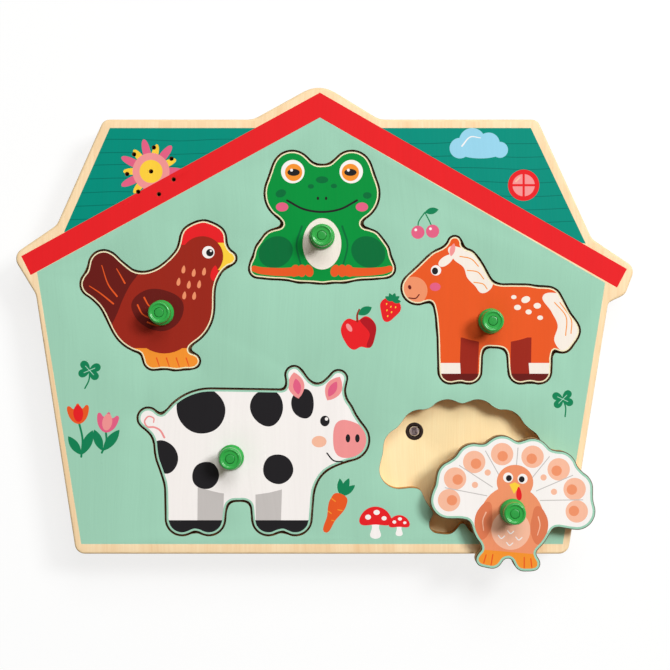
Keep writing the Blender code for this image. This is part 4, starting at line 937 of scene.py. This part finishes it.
def turkey_print():
    """A pale turkey seen from the front: a fan of feathers round a peach body."""
    turns = np.linspace(-6.0, 186.0, 8)
    tips = [oval(x, y, 5.4) for x, y in round_fan(turns, 31.0, 22.6)]
    eyes = [oval(x, y, 2.5) for x, y in round_fan(turns, 29.6, 21.6)]
    dots = [oval(x, y, 1.5) for x, y in round_fan(turns[[1, 2, 5, 6]], 20.5, 16.6)]
    between = (turns[1:] + turns[:-1]) / 2
    seams = strokes(0.45, None, *zip(round_fan(between, 13.0, 10.0),
                                     round_fan(between, 33.5, 25.6)))
    wings = both_sides(soft([(11.5, -1.5), (16.4, -5.6), (17.6, -13.0), (13.6, -20.0),
                             (9.8, -15.0), (9.6, -7.0)][::-1]))
    plumes = both_sides(stroke([(12.6, -6.6), (13.8, -10.6), (13.0, -15.4)], 0.6, 0.4))
    down = [stroke([(x - 1.5, y), (x, y - 1.3), (x + 1.5, y)], 0.5) for x, y in
            [(0, -14.5), (-4.2, -17.2), (4.2, -17.2), (0, -20.2)]]
    toes = both_sides(stroke([(7.6, -26.6), (8.0, -31.6)], 0.6)) + both_sides(
        stroke([(10.8, -27.0), (11.6, -31.0)], 0.6))
    return (inked("pale peach", *tips) + inked("peach", *eyes) + inked("pale peach", *dots)
            + inked("grey", *seams)
            + inked("peach", block(-17, -26, 17, -17), oval(0, -9.5, 15.6, 16.8))
            + inked("amber", block(-20, -40, 20, -24.6)) + inked("orange", *toes)
            + inked("pale peach", oval(0, -14.0, 9.4, 9.6)) + inked("white", *down)
            + inked("clay", *wings) + inked("pale peach", *plumes)
            + inked("peach", oval(0, 9.0, 8.8, 8.4))
            + inked("white", *both_sides(oval(3.5, 11.0, 2.4)))
            + inked("black", *both_sides(oval(3.1, 10.7, 1.4, 1.5)))
            + inked("yellow", np.array([(-2.6, 7.8), (0, 3.4), (2.6, 7.8), (0, 9.0)]))
            + inked("red", petal(1.9, 7.0, 6.6, 3.2, -82)))


# %% Saw the figures
# Each drawing with its ground's ink, its rim's ink and width, and its knob's place on it
# The three pale cream rims are bare wood painted paler as an edge highlight; the mint rims are print
DRAWINGS = {"hen": (hen_print(), "brown", "bare wood rim with painted highlight", 0.6, (-2.0, -6.0)),
            "frog": (frog_print(), "green", "bare wood rim with painted highlight", 0.6, (0.0, -9.0)),
            "pony": (pony_print(), "orange", "bare wood rim with painted highlight", 0.6, (2.0, -4.0)),
            "pig": (pig_print(), "white", "mint", 0.9, (-10.0, -6.0)),
            "turkey": (turkey_print(), "white", "mint", 1.0, (0.0, -5.0))}
TURNED = {"turkey": -5.0}
BEYOND_THE_EDGE = 5.0
for name, (drawing, ground_ink, rim_ink, rim_width, knob_at) in DRAWINGS.items():
    turn = TURNED.get(name, 0.0)
    origin = round_size(f"{name}_knob")[0] - turned_by([knob_at], turn)[0]
    loops = [eased(loop) for loop in top_loops(f"{name}_piece")]
    edge = moved_out(loops[0], -rim_width)
    layers = inked(rim_ink, moved_out(loops[0], BEYOND_THE_EDGE)) + inked(ground_ink, edge)
    layers += moved(drawing, *origin, turn, within=edge)
    piece = cut_sheet(f"{name}_figure", loops, layers, levels_of(f"{name}_piece"),
                      [print_on_birch, kerf_wall, birch_back], rounding=0.4)
    stands_for(piece, f"{name}_piece")

# %% [markdown]
# ## Knobs and their pins
#
# A knob is one moulding, so it is a profile turned round its axis. The CAD node has its
# sizes, read here from its box, and the finer profile adds what a mould leaves: soft
# corners, a raised rim and a shallow dish round the pin. The pin is a second moulding
# of the same green, pressed through the knob and the wood.


# %% Plastic that has been handled
plastic, p_in, p_out = new_group("handled_plastic", {
    "Base": ("Color", paint((53, 162, 77))), "Shift": ("Float", 0.06),
    "Low Gloss": ("Float", 0.30), "High Gloss": ("Float", 0.20)},
    {"Colour": "Color", "Roughness": "Float", "Skin": "Float"})
place = object_place(plastic)
centred = maths(plastic, "SUBTRACT", noise(plastic, place, 240.0, 3.0), 0.5)
level = maths(plastic, "ADD", 1.0, times(plastic, times(plastic, centred, p_in["Shift"]), 2.0))
smudge = noise(plastic, place, 420.0, 4.0, Roughness=0.7)
feed(plastic, p_out, Colour=shaded(plastic, p_in["Base"], level),
     Roughness=ranged(plastic, smudge, 0.35, 0.65, p_in["High Gloss"], p_in["Low Gloss"]),
     Skin=noise(plastic, place, 2600.0, 2.0))
print("Plastic group:", len(plastic.nodes), "nodes")


def plastic_look(name, colour, gloss, shift=0.06, skin_depth=0.00001, **values):
    """Moulded plastic: a faint cloud of tone, smudged gloss and a fine skin."""
    look, tree, shader = new_look(name, **values)
    body = grouped(tree, plastic, Base=paint(colour), Shift=shift, High_Gloss=gloss[0],
                   Low_Gloss=gloss[1])
    feed(tree, shader, Base_Color=body["Colour"], Roughness=body["Roughness"])
    bumped(tree, shader, body["Skin"], skin_depth, 0.5)
    return look


knob_green = plastic_look("knob_green", (44, 164, 68), (0.20, 0.30), Coat_Weight=0.25,
                          Coat_Roughness=0.16)
pin_green = plastic_look("pin_green", (42, 156, 66), (0.22, 0.34), Coat_Weight=0.2,
                         Coat_Roughness=0.16)


# %% Turn the knobs
def rounded_profile(corners, steps=4):
    """A turned profile with its corners eased: each (radius, height, ease) cut by a curve.

    A corner of ease e is replaced by a quadratic curve from e before it to e after it.
    """
    points = np.array([(r, z) for r, z, _ in corners], dtype=float)
    rows = []
    for k, (_, _, ease) in enumerate(corners):
        here = points[k]
        if ease == 0 or k in (0, len(corners) - 1):
            rows.append(here[None])
            continue
        back, on = points[k - 1] - here, points[k + 1] - here
        start = here + back / np.linalg.norm(back) * min(ease, np.linalg.norm(back) * 0.45)
        end = here + on / np.linalg.norm(on) * min(ease, np.linalg.norm(on) * 0.45)
        t = np.linspace(0, 1, steps + 1)[:, None]
        rows.append((1 - t) ** 2 * start + 2 * t * (1 - t) * here + t**2 * end)
    return np.vstack(rows)


KNOB_RADIUS = 6.2


def knob_profile(radius, height):
    """Half of the knob's cut in mm from its foot: flange, waist, head, rim and dish."""
    k = radius / KNOB_RADIUS
    return rounded_profile([
        (2.4 * k, 0, 0), (5.9 * k, 0, 0.2), (radius, 0.4, 0.3), (radius, 1.3, 0.5),
        (5.1 * k, 2.3, 0.8), (4.0 * k, 4.8, 1.6), (4.5 * k, 7.6, 0.9), (5.3 * k, 8.3, 0.6),
        (5.5 * k, 9.8, 0.7), (5.3 * k, height - 0.6, 0.5), (4.7 * k, height, 0.6),
        (4.1 * k, height - 0.1, 0.3), (3.7 * k, height - 0.5, 0.4), (2.35 * k, height - 0.5, 0)])


def pin_profile(low, top):
    """The pin in mm: a wide flat head under the wood, a shank, and a slightly domed end."""
    return rounded_profile([
        (0.01, low, 0), (3.8, low, 0.3), (4.0, low + 0.4, 0.3), (4.0, low + 1.4, 0.2),
        (2.2, low + 1.4, 0.1), (2.2, top - 0.3, 0), (2.1, top - 0.1, 0.1), (1.6, top, 0.2),
        (0.01, top + 0.04, 0)])


def grid_solid(name, points, looks, tube=False, look_of_row=None, sharp=50.0):
    """A solid whose points are a grid, row after row of one ring each, in mm.

    Each ring joins to the next. A tube's last ring joins to its first, and otherwise the
    first and last rings are closed by a face each.
    """
    rows, sides = points.shape[:2]
    count = rows if tube else rows - 1
    row, step = np.meshgrid(np.arange(count), np.arange(sides), indexing="ij")
    row, step = row.ravel(), step.ravel()
    up, after = (row + 1) % rows, (step + 1) % sides
    faces = [np.stack([row * sides + step, row * sides + after, up * sides + after,
                       up * sides + step], axis=1)]
    look_of = np.zeros(len(row)) if look_of_row is None else np.asarray(look_of_row)[row]
    if not tube:
        faces += [np.arange(sides)[None, ::-1], np.arange(sides)[None] + (rows - 1) * sides]
        look_of = np.concatenate([look_of, [look_of[0], look_of[-1]]])
    return new_piece(name, points.reshape(-1, 3) * MM, faces, looks, look_of, sharp)


def around(radius, turn, height):
    """A grid of points at a radius, a turn and a height."""
    return np.stack(np.broadcast_arrays(radius * np.cos(turn), radius * np.sin(turn), height),
                    axis=2)


def spun(profile, sides):
    """A profile of (radius, height) turned once round z, as a grid of points."""
    return around(profile[:, :1], full_turn(sides), profile[:, 1:])


def solid_of_revolution(name, profile, centre, look, sides=72, tube=False):
    """An upright turned solid; its profile's heights are already in the frame."""
    return grid_solid(name, spun(profile, sides) + (*centre, 0.0), [look], tube)


for name in FIGURES:
    centre, radius, low, high = round_size(f"{name}_knob")
    profile = knob_profile(radius, high - low) + (0, low)
    knob = solid_of_revolution(f"{name}_green_knob", profile, centre, knob_green, tube=True)
    stands_for(knob, f"{name}_knob")
    profile = pin_profile(*levels_of(f"{name}_rivet"))
    pin = solid_of_revolution(f"{name}_pin", profile, centre, pin_green, sides=48)
    stands_for(pin, f"{name}_rivet")
print("Knobs and pins turned")

# %% [markdown]
# ## The plain sheets behind the print
#
# Under the printed front lie a thin birch floor, a deep plywood frame and a hardboard
# back. The floor and the frame are sawn like the front, so they are made by the same
# function with nothing printed on them. Their walls show the plies.


# %% Floor and frame
def plain_sheet(name, node, looks, rounding=0.12):
    """A sheet without a print. Its outline is drawn in first, so that its wall lies on the CAD's."""
    outer, *holes = (eased(loop) for loop in top_loops(node))
    sheet = cut_sheet(name, [moved_out(outer, -rounding), *holes], [], levels_of(node), looks,
                      rounding, hole_rounding=0.05)
    stands_for(sheet, node)


plain_sheet("birch_floor", "recess_floor", [birch_floor, sanded_edge, birch_back])
plain_sheet("plywood_frame", "frame_ring", [birch_back, sanded_edge, birch_back])

# %% [markdown]
# ## Hardboard, metal and circuit board
#
# The back is hardboard: pressed brown fibre, flecked close up and clouded from afar. The
# metal parts share one group that gives drawn scratches and smears. Bare colour comes
# from the metal itself, so the group only varies it a little.


# %% Hardboard
def hardboard_look(name):
    """Pressed fibre: fine tan flecks and short fibres under a slow brown cloud."""
    look, tree, shader = new_look(name, Specular_IOR_Level=0.3)
    place = object_place(tree)
    fleck = noise(tree, place, 1500.0, 5.0, Roughness=0.7)
    fibre = noise(tree, place, 800.0, 3.0, Distortion=1.6)
    haze = noise(tree, place, 26.0, 3.0)
    tone = blend(tree, ranged(tree, fleck, 0.36, 0.64), paint((138, 100, 66)),
                 paint((178, 140, 100)))
    tone = blend(tree, ranged(tree, fibre, 0.55, 0.70, 0.0, 0.35), tone, paint((204, 168, 124)))
    tone = blend(tree, ranged(tree, haze, 0.35, 0.7, 0.0, 0.3), tone, paint((120, 84, 54)))
    feed(tree, shader, Base_Color=tone, Roughness=ranged(tree, fleck, 0.3, 0.7, 0.58, 0.78))
    bumped(tree, shader, fleck, 0.00006, 0.6)
    return look


hardboard = hardboard_look("hardboard")
print("Back sheet finish:", hardboard.name)

# %% Metals
metal, m_in, m_out = new_group("drawn_metal", {
    "Base": ("Color", paint((200, 200, 202))), "Fine": ("Float", 0.24),
    "Coarse": ("Float", 0.44)}, {"Colour": "Color", "Roughness": "Float", "Scratch": "Float"})
place = object_place(metal)
long_way = add(metal, "VectorMath", {"operation": "MULTIPLY"}, i0=place, i1=(400.0, 400.0, 4000.0))
scratch = noise(metal, long_way.outputs[0], 1.0, 4.0)
smear = noise(metal, place, 380.0, 4.0)
dulled = ranged(metal, smear, 0.35, 0.68, 0.0, 0.30)
uneven = maths(metal, "ADD", times(metal, scratch, 0.5), times(metal, smear, 0.5))
feed(metal, m_out, Colour=blend(metal, dulled, m_in["Base"], paint((120, 116, 112))),
     Roughness=ranged(metal, uneven, 0.38, 0.62, m_in["Fine"], m_in["Coarse"]),
     Scratch=scratch)


def metal_look(name, colour, gloss=(0.24, 0.44)):
    """Bare metal with drawn scratches."""
    look, tree, shader = new_look(name, Metallic=1.0)
    skin = grouped(tree, metal, Base=paint(colour), Fine=gloss[0], Coarse=gloss[1])
    feed(tree, shader, Base_Color=skin["Colour"], Roughness=skin["Roughness"])
    bumped(tree, shader, skin["Scratch"], 0.000015, 0.4)
    return look


zinc = metal_look("zinc_plate", (206, 207, 212))
nickel = metal_look("nickel_plate", (214, 210, 200), (0.16, 0.32))
copper_band = metal_look("copper_band", (206, 132, 74), (0.22, 0.36))
ferrite = metal_look("grey_ferrite", (104, 104, 108), (0.45, 0.62))
speaker_iron = metal_look("speaker_iron", (128, 128, 132), (0.34, 0.50))
print("Metal group:", len(metal.nodes), "nodes")

# %% Dark plastic, jackets and circuit board
sleeve_brown = plastic_look("sleeve_brown", (38, 22, 16), (0.44, 0.58), 0.10, 0.00002,
                            Specular_IOR_Level=0.25)
black_plastic = plastic_look("black_plastic", (30, 28, 28), (0.40, 0.54), 0.10, 0.00003,
                             Specular_IOR_Level=0.35)
cell_jacket = plastic_look("cell_jacket", (44, 46, 52), (0.22, 0.34), 0.08)
lead_red = plastic_look("lead_red", (196, 36, 34), (0.34, 0.46), 0.12)
chip_black = plastic_look("chip_black", (26, 26, 28), (0.20, 0.34), 0.10)
cone_grey = plastic_look("cone_grey", (150, 146, 138), (0.50, 0.66), 0.14, 0.00004)


def board_look(name):
    """Green solder mask over copper: tracks run both ways and show as paler green lines."""
    look, tree, shader = new_look(name, Coat_Weight=0.3, Coat_Roughness=0.2)
    place = object_place(tree)
    patch = add(tree, "TexVoronoi", Vector=place, Scale=170.0).outputs["Color"]
    share = add(tree, "SeparateColor", Color=patch).outputs[0]
    tracks = []
    for way, low, high in (("X", 0.45, 0.50), ("Y", 0.50, 0.45)):
        lines = add(tree, "TexWave", {"wave_type": "BANDS", "bands_direction": way},
                    Vector=place, Scale=140.0).outputs[1]
        tracks.append(times(tree, ranged(tree, lines, 0.62, 0.70), ranged(tree, share, low, high)))
    track = maths(tree, "ADD", *tracks, clamp=True)
    feed(tree, shader, Base_Color=blend(tree, track, paint((14, 88, 54)), paint((34, 122, 74))),
         Roughness=ranged(tree, share, 0.0, 1.0, 0.30, 0.42))
    bumped(tree, shader, track, 0.00004, 0.8)
    return look


board_green = board_look("board_green")
print("Small-part finishes ready")

# %% [markdown]
# ## Parts that keep their CAD shape
#
# Some parts are already right in shape, and only want smooth shading and broken edges.
# The CAD mesh is loose triangles and stays untouched, so each part is a copy with its
# corners merged, and a small Bevel does what a mould or a file does.


# %% Refine the flat-sided parts
def refined(node, look, edge=0.0, sharp=40.0):
    """A merged copy of a CAD node, with its edges broken by edge in mm."""
    points, triangles = welded(node)
    part = new_piece(f"fine_{node}", points * MM, [triangles], [look], sharp=sharp)
    if edge > 0:
        soft_edge = part.modifiers.new("broken_edge", "BEVEL")
        soft_edge.width = edge * MM
        soft_edge.segments = 2
        soft_edge.limit_method = "ANGLE"
        soft_edge.angle_limit = math.radians(sharp)
        soft_edge.harden_normals = True
    stands_for(part, node)


refined("back_panel", hardboard)
refined("battery_box", black_plastic, 0.25)
refined("battery_door", black_plastic, 0.12)
refined("switch_body", black_plastic, 0.20)
refined("switch_slider", black_plastic, 0.15)
refined("circuit_board", board_green, 0.10)
refined("battery_contact_1", nickel, 0.08)
refined("battery_contact_2", nickel, 0.08)
refined("speaker_frame", speaker_iron, 0.06, sharp=50.0)
for name in ("battery_lead", "speaker_lead", "switch_lead",
             *[f"sensor_lead_{figure}" for figure in FIGURES]):
    refined(name, lead_red, sharp=70.0)
print("Flat-sided parts refined")

# %% [markdown]
# ## Screws
#
# A countersunk screw is turned, threaded and stamped with a cross. Here it is one grid:
# height along the screw and turn round it. The thread is a term in the radius that climbs
# with the turn, and the cross is a term in the height of the rings that cover the head.


# %% Turn, thread and stamp the screws
HEAD_RADIUS, RIM, CONE_TOP, CORE, PITCH = 2.9, 0.3, 1.6, 1.25, 1.1
CROSS_LONG, CROSS_HALF, CROSS_DEPTH = 1.55, 0.34, 1.0


def slope_down(value, edge, width=0.10):
    """One inside the edge, zero outside it, and a straight ramp between."""
    return np.clip((edge - value) / width + 0.5, 0.0, 1.0)


def screw_points(length, sides=72):
    """The screw's grid in mm, head down, from the middle of its head to its tip.

    Ring k of the head has radius R k / n. The cross sinks by its depth where one of x and
    y is under the arm's half-width and the other is under its length. On the shank the
    radius is core + rise times a triangle wave of height / pitch + turn.
    """
    face = np.linspace(0.02, HEAD_RADIUS - 0.06, 26)[:, None]
    turn = full_turn(sides)
    x, y = np.abs(face * np.cos(turn)), np.abs(face * np.sin(turn))
    arms = np.maximum(slope_down(x, CROSS_HALF) * slope_down(y, CROSS_LONG),
                      slope_down(y, CROSS_HALF) * slope_down(x, CROSS_LONG))
    cone = np.array([(HEAD_RADIUS, 0.06), (HEAD_RADIUS, RIM), (CORE + 0.15, CONE_TOP)])
    height = np.linspace(CONE_TOP + 0.2, length - 0.05, int((length - CONE_TOP) / 0.16))[:, None]
    phase = (height / PITCH + turn / (2 * np.pi)) % 1.0
    taper = np.clip((length - height) / 2.2, 0.05, 1.0)
    shank = (CORE + 0.32 * np.clip(1 - 5 * np.abs(phase - 0.5), 0.0, 1.0)) * taper
    return np.concatenate([around(face, turn, CROSS_DEPTH * arms), spun(cone, sides),
                           around(shank, turn, height)])


for node in [*[f"back_screw_{k}" for k in range(1, 7)], "battery_door_screw"]:
    centre, _, low, high = round_size(node)
    points = screw_points(high - low) + (*centre, low)
    stands_for(grid_solid(f"cross_{node}", points, [zinc], sharp=35.0), node)
print("Screws turned, threaded and stamped")

# %% [markdown]
# ## Cells, springs and speaker
#
# The turned inner parts are spun at full smoothness. The cells lie on their side, so
# their grid is turned to lie along x. A spring is a wire swept along a cone-shaped helix.


# %% Lay the cells along x
def laid_along_x(points, way, place):
    """Points made upright, laid so that their z runs along x the given way, at a place."""
    return points @ np.array([[0.0, 0.0, -way], [0.0, 1.0, 0.0], [way, 0.0, 0.0]]) + place


BUTTON = 1.0


def cell_profile(radius, length):
    """A cell in mm: base, jacket with a rolled edge at each end, shoulder and button."""
    return rounded_profile([
        (0.01, 0.15, 0), (radius * 0.55, 0.15, 0.1), (radius * 0.66, 0.0, 0.1),
        (radius * 0.93, 0.0, 0.25), (radius, 0.35, 0.15), (radius, 1.0, 0),
        (radius, length * 0.74, 0), (radius, length * 0.75, 0), (radius, length - 0.5, 0.15),
        (radius * 0.93, length - 0.1, 0.25), (radius * 0.46, length - 0.1, 0.1),
        (radius * 0.44, length - 0.35, 0.1), (1.9, length - 0.3, 0.1),
        (1.9, length + BUTTON, 0.25), (0.01, length + BUTTON, 0)], steps=3)


# The two cells lie head to tail
WAYS = {1: -1.0, 2: 1.0}
for k, way in WAYS.items():
    low, high = box_of(f"battery_{k}")
    radius, length, middle = (high[2] - low[2]) / 2, high[0] - low[0], (low + high) / 2
    profile = cell_profile(radius, length - BUTTON)
    on_wall = profile[:, 0] > radius - 0.01
    rows = np.where(on_wall, np.where(profile[:, 1] > length * 0.72, 2, 1), 0)
    start = (low[0] if way > 0 else high[0], *middle[1:])
    points = laid_along_x(spun(profile, 64), way, start)
    cell = grid_solid(f"cell_{k}", points, [nickel, cell_jacket, copper_band], look_of_row=rows)
    stands_for(cell, f"battery_{k}")
print("Cells laid head to tail")


# %% Wind the springs
def swept(path, radius, sides=12):
    """A round wire's grid along a path: each ring stands square to the path's run."""
    run = unit(np.gradient(path, axis=0))
    side = unit(np.cross(run, (0.0, 0.0, 1.0)))
    up = np.cross(side, run)
    turn = np.linspace(2 * np.pi, 0.0, sides, endpoint=False)[:, None]
    return path[:, None] + radius * (side[:, None] * np.cos(turn) + up[:, None] * np.sin(turn))


def helix(turns, foot, tip, length, count=260):
    """A cone-shaped helix: its radius falls from foot to tip as it climbs the length."""
    share = np.linspace(0.0, 1.0, count)
    angle = 2 * np.pi * turns * share
    radius = foot + (tip - foot) * share
    return np.stack([radius * np.cos(angle), radius * np.sin(angle), length * share], axis=1)


WIRE = 0.3
for k, way in WAYS.items():
    low, high = box_of(f"battery_spring_{k}")
    axis = np.mean(box_of(f"battery_{k}"), axis=0)
    coil = swept(helix(3.5, 3.6, 2.0, high[0] - low[0] - 2 * WIRE), WIRE)
    wall = low[0] + WIRE if way > 0 else high[0] - WIRE
    points = laid_along_x(coil, way, (wall, *axis[1:]))
    stands_for(grid_solid(f"coil_{k}", points, [nickel], sharp=80.0), f"battery_spring_{k}")
print("Springs wound")

# %% Speaker, magnet and sound chip
_, radius, low, high = round_size("speaker_cone")
brim = high - 0.3
profile = rounded_profile([
    (0.01, brim, 0), (radius * 0.28, brim - 0.25, 0.8), (radius * 0.62, low, 0.5),
    (radius * 0.85, brim, 0.5), (radius, brim, 0), (radius, brim + 0.2, 0),
    (radius * 0.84, brim + 0.2, 0.5), (radius * 0.62, low + 0.3, 0.5),
    (radius * 0.28, brim + 0.1, 0.8), (0.01, high, 0)], steps=8)
cone = solid_of_revolution("speaker_paper_cone", profile, SPEAKER, cone_grey)
stands_for(cone, "speaker_cone")

_, radius, low, high = round_size("speaker_magnet")
profile = rounded_profile([
    (0.01, low, 0), (radius * 0.9, low, 0.15), (radius, low + 0.45, 0.15),
    (radius, high - 0.45, 0.15), (radius * 0.9, high, 0.15), (0.01, high, 0)])
magnet = solid_of_revolution("ferrite_magnet", profile, SPEAKER, ferrite)
stands_for(magnet, "speaker_magnet")

# The chip sits in a black drop that has run a little unevenly before it set
DROP_RADIUS, DROP_SIDES = 6.0, 72
centre, _, low, high = round_size("sound_chip")
arc = np.radians(np.linspace(89, 0, 16))
dome = np.stack([DROP_RADIUS * np.cos(arc), high - (high - low) * np.sin(arc)], axis=1)
drop = spun(np.vstack([dome, [(0.01, high)]]), DROP_SIDES)
turn = full_turn(DROP_SIDES)
drop[:, :, :2] *= (0.96 + 0.025 * np.sin(3 * turn + 1) + 0.015 * np.sin(5 * turn))[:, None]
stands_for(grid_solid("chip_drop", drop + (*centre, 0.0), [chip_black]), "sound_chip")
print("Speaker and chip ready")


# %% Light sensors in their sleeves
def glazed_look(name):
    """A glazed ceramic disc: the ink under a clear coat, with a faint milky haze."""
    look, tree, shader = new_look(name, Coat_Weight=0.6, Coat_Roughness=0.12)
    haze = noise(tree, object_place(tree), 900.0, 3.0)
    milk = blend(tree, ranged(tree, haze, 0.4, 0.7, 0.0, 0.25), carried(tree, "ink", "Color"),
                 paint((176, 166, 174)))
    feed(tree, shader, Base_Color=milk, Roughness=ranged(tree, haze, 0.35, 0.65, 0.22, 0.36))
    return look


def serpentine(half, reach, rows, width):
    """A track that runs to and fro across the disc, row by row."""
    heights = np.linspace(-reach, reach, rows)
    ends = np.stack([np.where(np.arange(rows) % 2 == 0, -half, half), heights], axis=1)
    return stroke(np.stack([ends, ends * (-1, 1)], axis=1).reshape(-1, 2), width, parts=4)


DISC_RADIUS, SLEEVE_BORE, SLEEVE_FLOOR = 2.2, 2.9, 1.0
glazed = glazed_look("glazed_ceramic")
metal_ends = inked("lens metal", block(-3, -3, -1.15, 3), block(1.15, -3, 3, 3))
track = inked("lens track", serpentine(0.8, 1.5, 6, 0.30))
for figure in FIGURES:
    centre, _, low, high = round_size(f"light_sensor_{figure}")
    edge = oval(*centre, DISC_RADIUS, count=56)
    face = inked("lens", edge) + moved(metal_ends, *centre, within=edge)
    face += moved(track, *centre, 18.0)
    sensor = cut_sheet(f"sensor_disc_{figure}", [edge], face, (low, high), [glazed] * 3,
                       rounding=0.3)
    stands_for(sensor, f"light_sensor_{figure}")

    centre, radius, low, high = round_size(f"sensor_sleeve_{figure}")
    seat = low + SLEEVE_FLOOR
    profile = rounded_profile([
        (0.01, low, 0), (radius, low, 0.25), (radius, high, 0.2), (SLEEVE_BORE, high, 0.25),
        (SLEEVE_BORE, seat, 0.1), (0.01, seat, 0)])
    sleeve = solid_of_revolution(f"dark_sleeve_{figure}", profile, centre, sleeve_brown)
    stands_for(sleeve, f"sensor_sleeve_{figure}")
print("Sensors set in their sleeves")

# %% [markdown]
# ## Light and camera
#
# The photograph looks straight down on a toy that lies on white paper. A soft lamp from
# the upper right throws each knob's shadow to the lower left. A wide one beyond the roof
# shades the recess under its upper edge, and the pale, warm room fills the rest. The paper
# is white to the camera in light and shade alike, so that only a faint shadow is left round
# the board. It throws no more light on the toy than paper does.

# %% Floor, lamps and camera
PAPER_HALF = 10.0
PAPER_LEVEL = -0.1 * MM
PAPER_GLOW = 0.8
paper_look, paper_tree, paper_shader = new_look("white_paper", Roughness=0.9, Specular_IOR_Level=0.0,
                                                Base_Color=(0.96, 0.96, 0.96, 1))
kind = add(paper_tree, "LightPath").outputs
seen = maths(paper_tree, "MAXIMUM", kind["Is Camera Ray"],
             maths(paper_tree, "MAXIMUM", kind["Is Glossy Ray"], kind["Is Transmission Ray"]))
glow = add(paper_tree, "Emission", Color=(1, 1, 1, 1), Strength=1.0)
both = add(paper_tree, "MixShader", i0=times(paper_tree, seen, PAPER_GLOW),
           i1=paper_shader.outputs[0], i2=glow.outputs[0])
feed(paper_tree, paper_tree.nodes["Material Output"], Surface=both.outputs[0])
paper = new_piece("paper", [(x * PAPER_HALF, y * PAPER_HALF, PAPER_LEVEL)
                            for x, y in ((-1, -1), (1, -1), (1, 1), (-1, 1))],
                  [np.array([[0, 1, 2, 3]])], [paper_look])

ROOM_TINT, ROOM_STRENGTH = (1.0, 0.90, 0.76, 1), 0.22
world = bpy.data.worlds.new("pale_room")
scene.world = world
world.use_nodes = True
world.node_tree.nodes["Background"].inputs["Color"].default_value = ROOM_TINT
world.node_tree.nodes["Background"].inputs["Strength"].default_value = ROOM_STRENGTH

LAMP_DISTANCE = 3.0


def soft_lamp(name, towards, size, power, tint):
    """A square soft lamp that faces the board."""
    data = bpy.data.lights.new(name, "AREA")
    data.shape = "SQUARE"
    data.size = size
    data.energy = power
    data.color = tint
    lamp = bpy.data.objects.new(name, data)
    scene.collection.objects.link(lamp)
    lamp.location = Vector(towards).normalized() * LAMP_DISTANCE
    lamp.rotation_euler = (-Vector(towards)).to_track_quat("-Z", "Y").to_euler()


soft_lamp("window", (0.74, 0.46, 1.0), 0.80, 68.0, (0.97, 0.99, 1.0))
soft_lamp("skylight", (0.26, 0.84, 1.0), 1.50, 37.0, (0.95, 0.99, 1.0))

# The camera looks straight down, with the board's middle where the photograph has it
CAMERA_HEIGHT = 0.80
PIXEL = 0.486 * MM
HALF_PICTURE = 670 / 2
BOARD_MIDDLE = (322, 321)
lens_data = bpy.data.cameras.new("overhead")
lens_data.sensor_fit = "HORIZONTAL"
lens_data.angle = 2 * math.atan(HALF_PICTURE * PIXEL / CAMERA_HEIGHT)
lens_data.clip_start = 0.01
camera = bpy.data.objects.new("overhead", lens_data)
scene.collection.objects.link(camera)
camera.location = ((HALF_PICTURE - BOARD_MIDDLE[0]) * PIXEL,
                   (BOARD_MIDDLE[1] - HALF_PICTURE) * PIXEL,
                   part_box("front_panel")[1][2] + CAMERA_HEIGHT)
scene.camera = camera
print("Camera in mm:", [round(value / MM, 1) for value in camera.location])
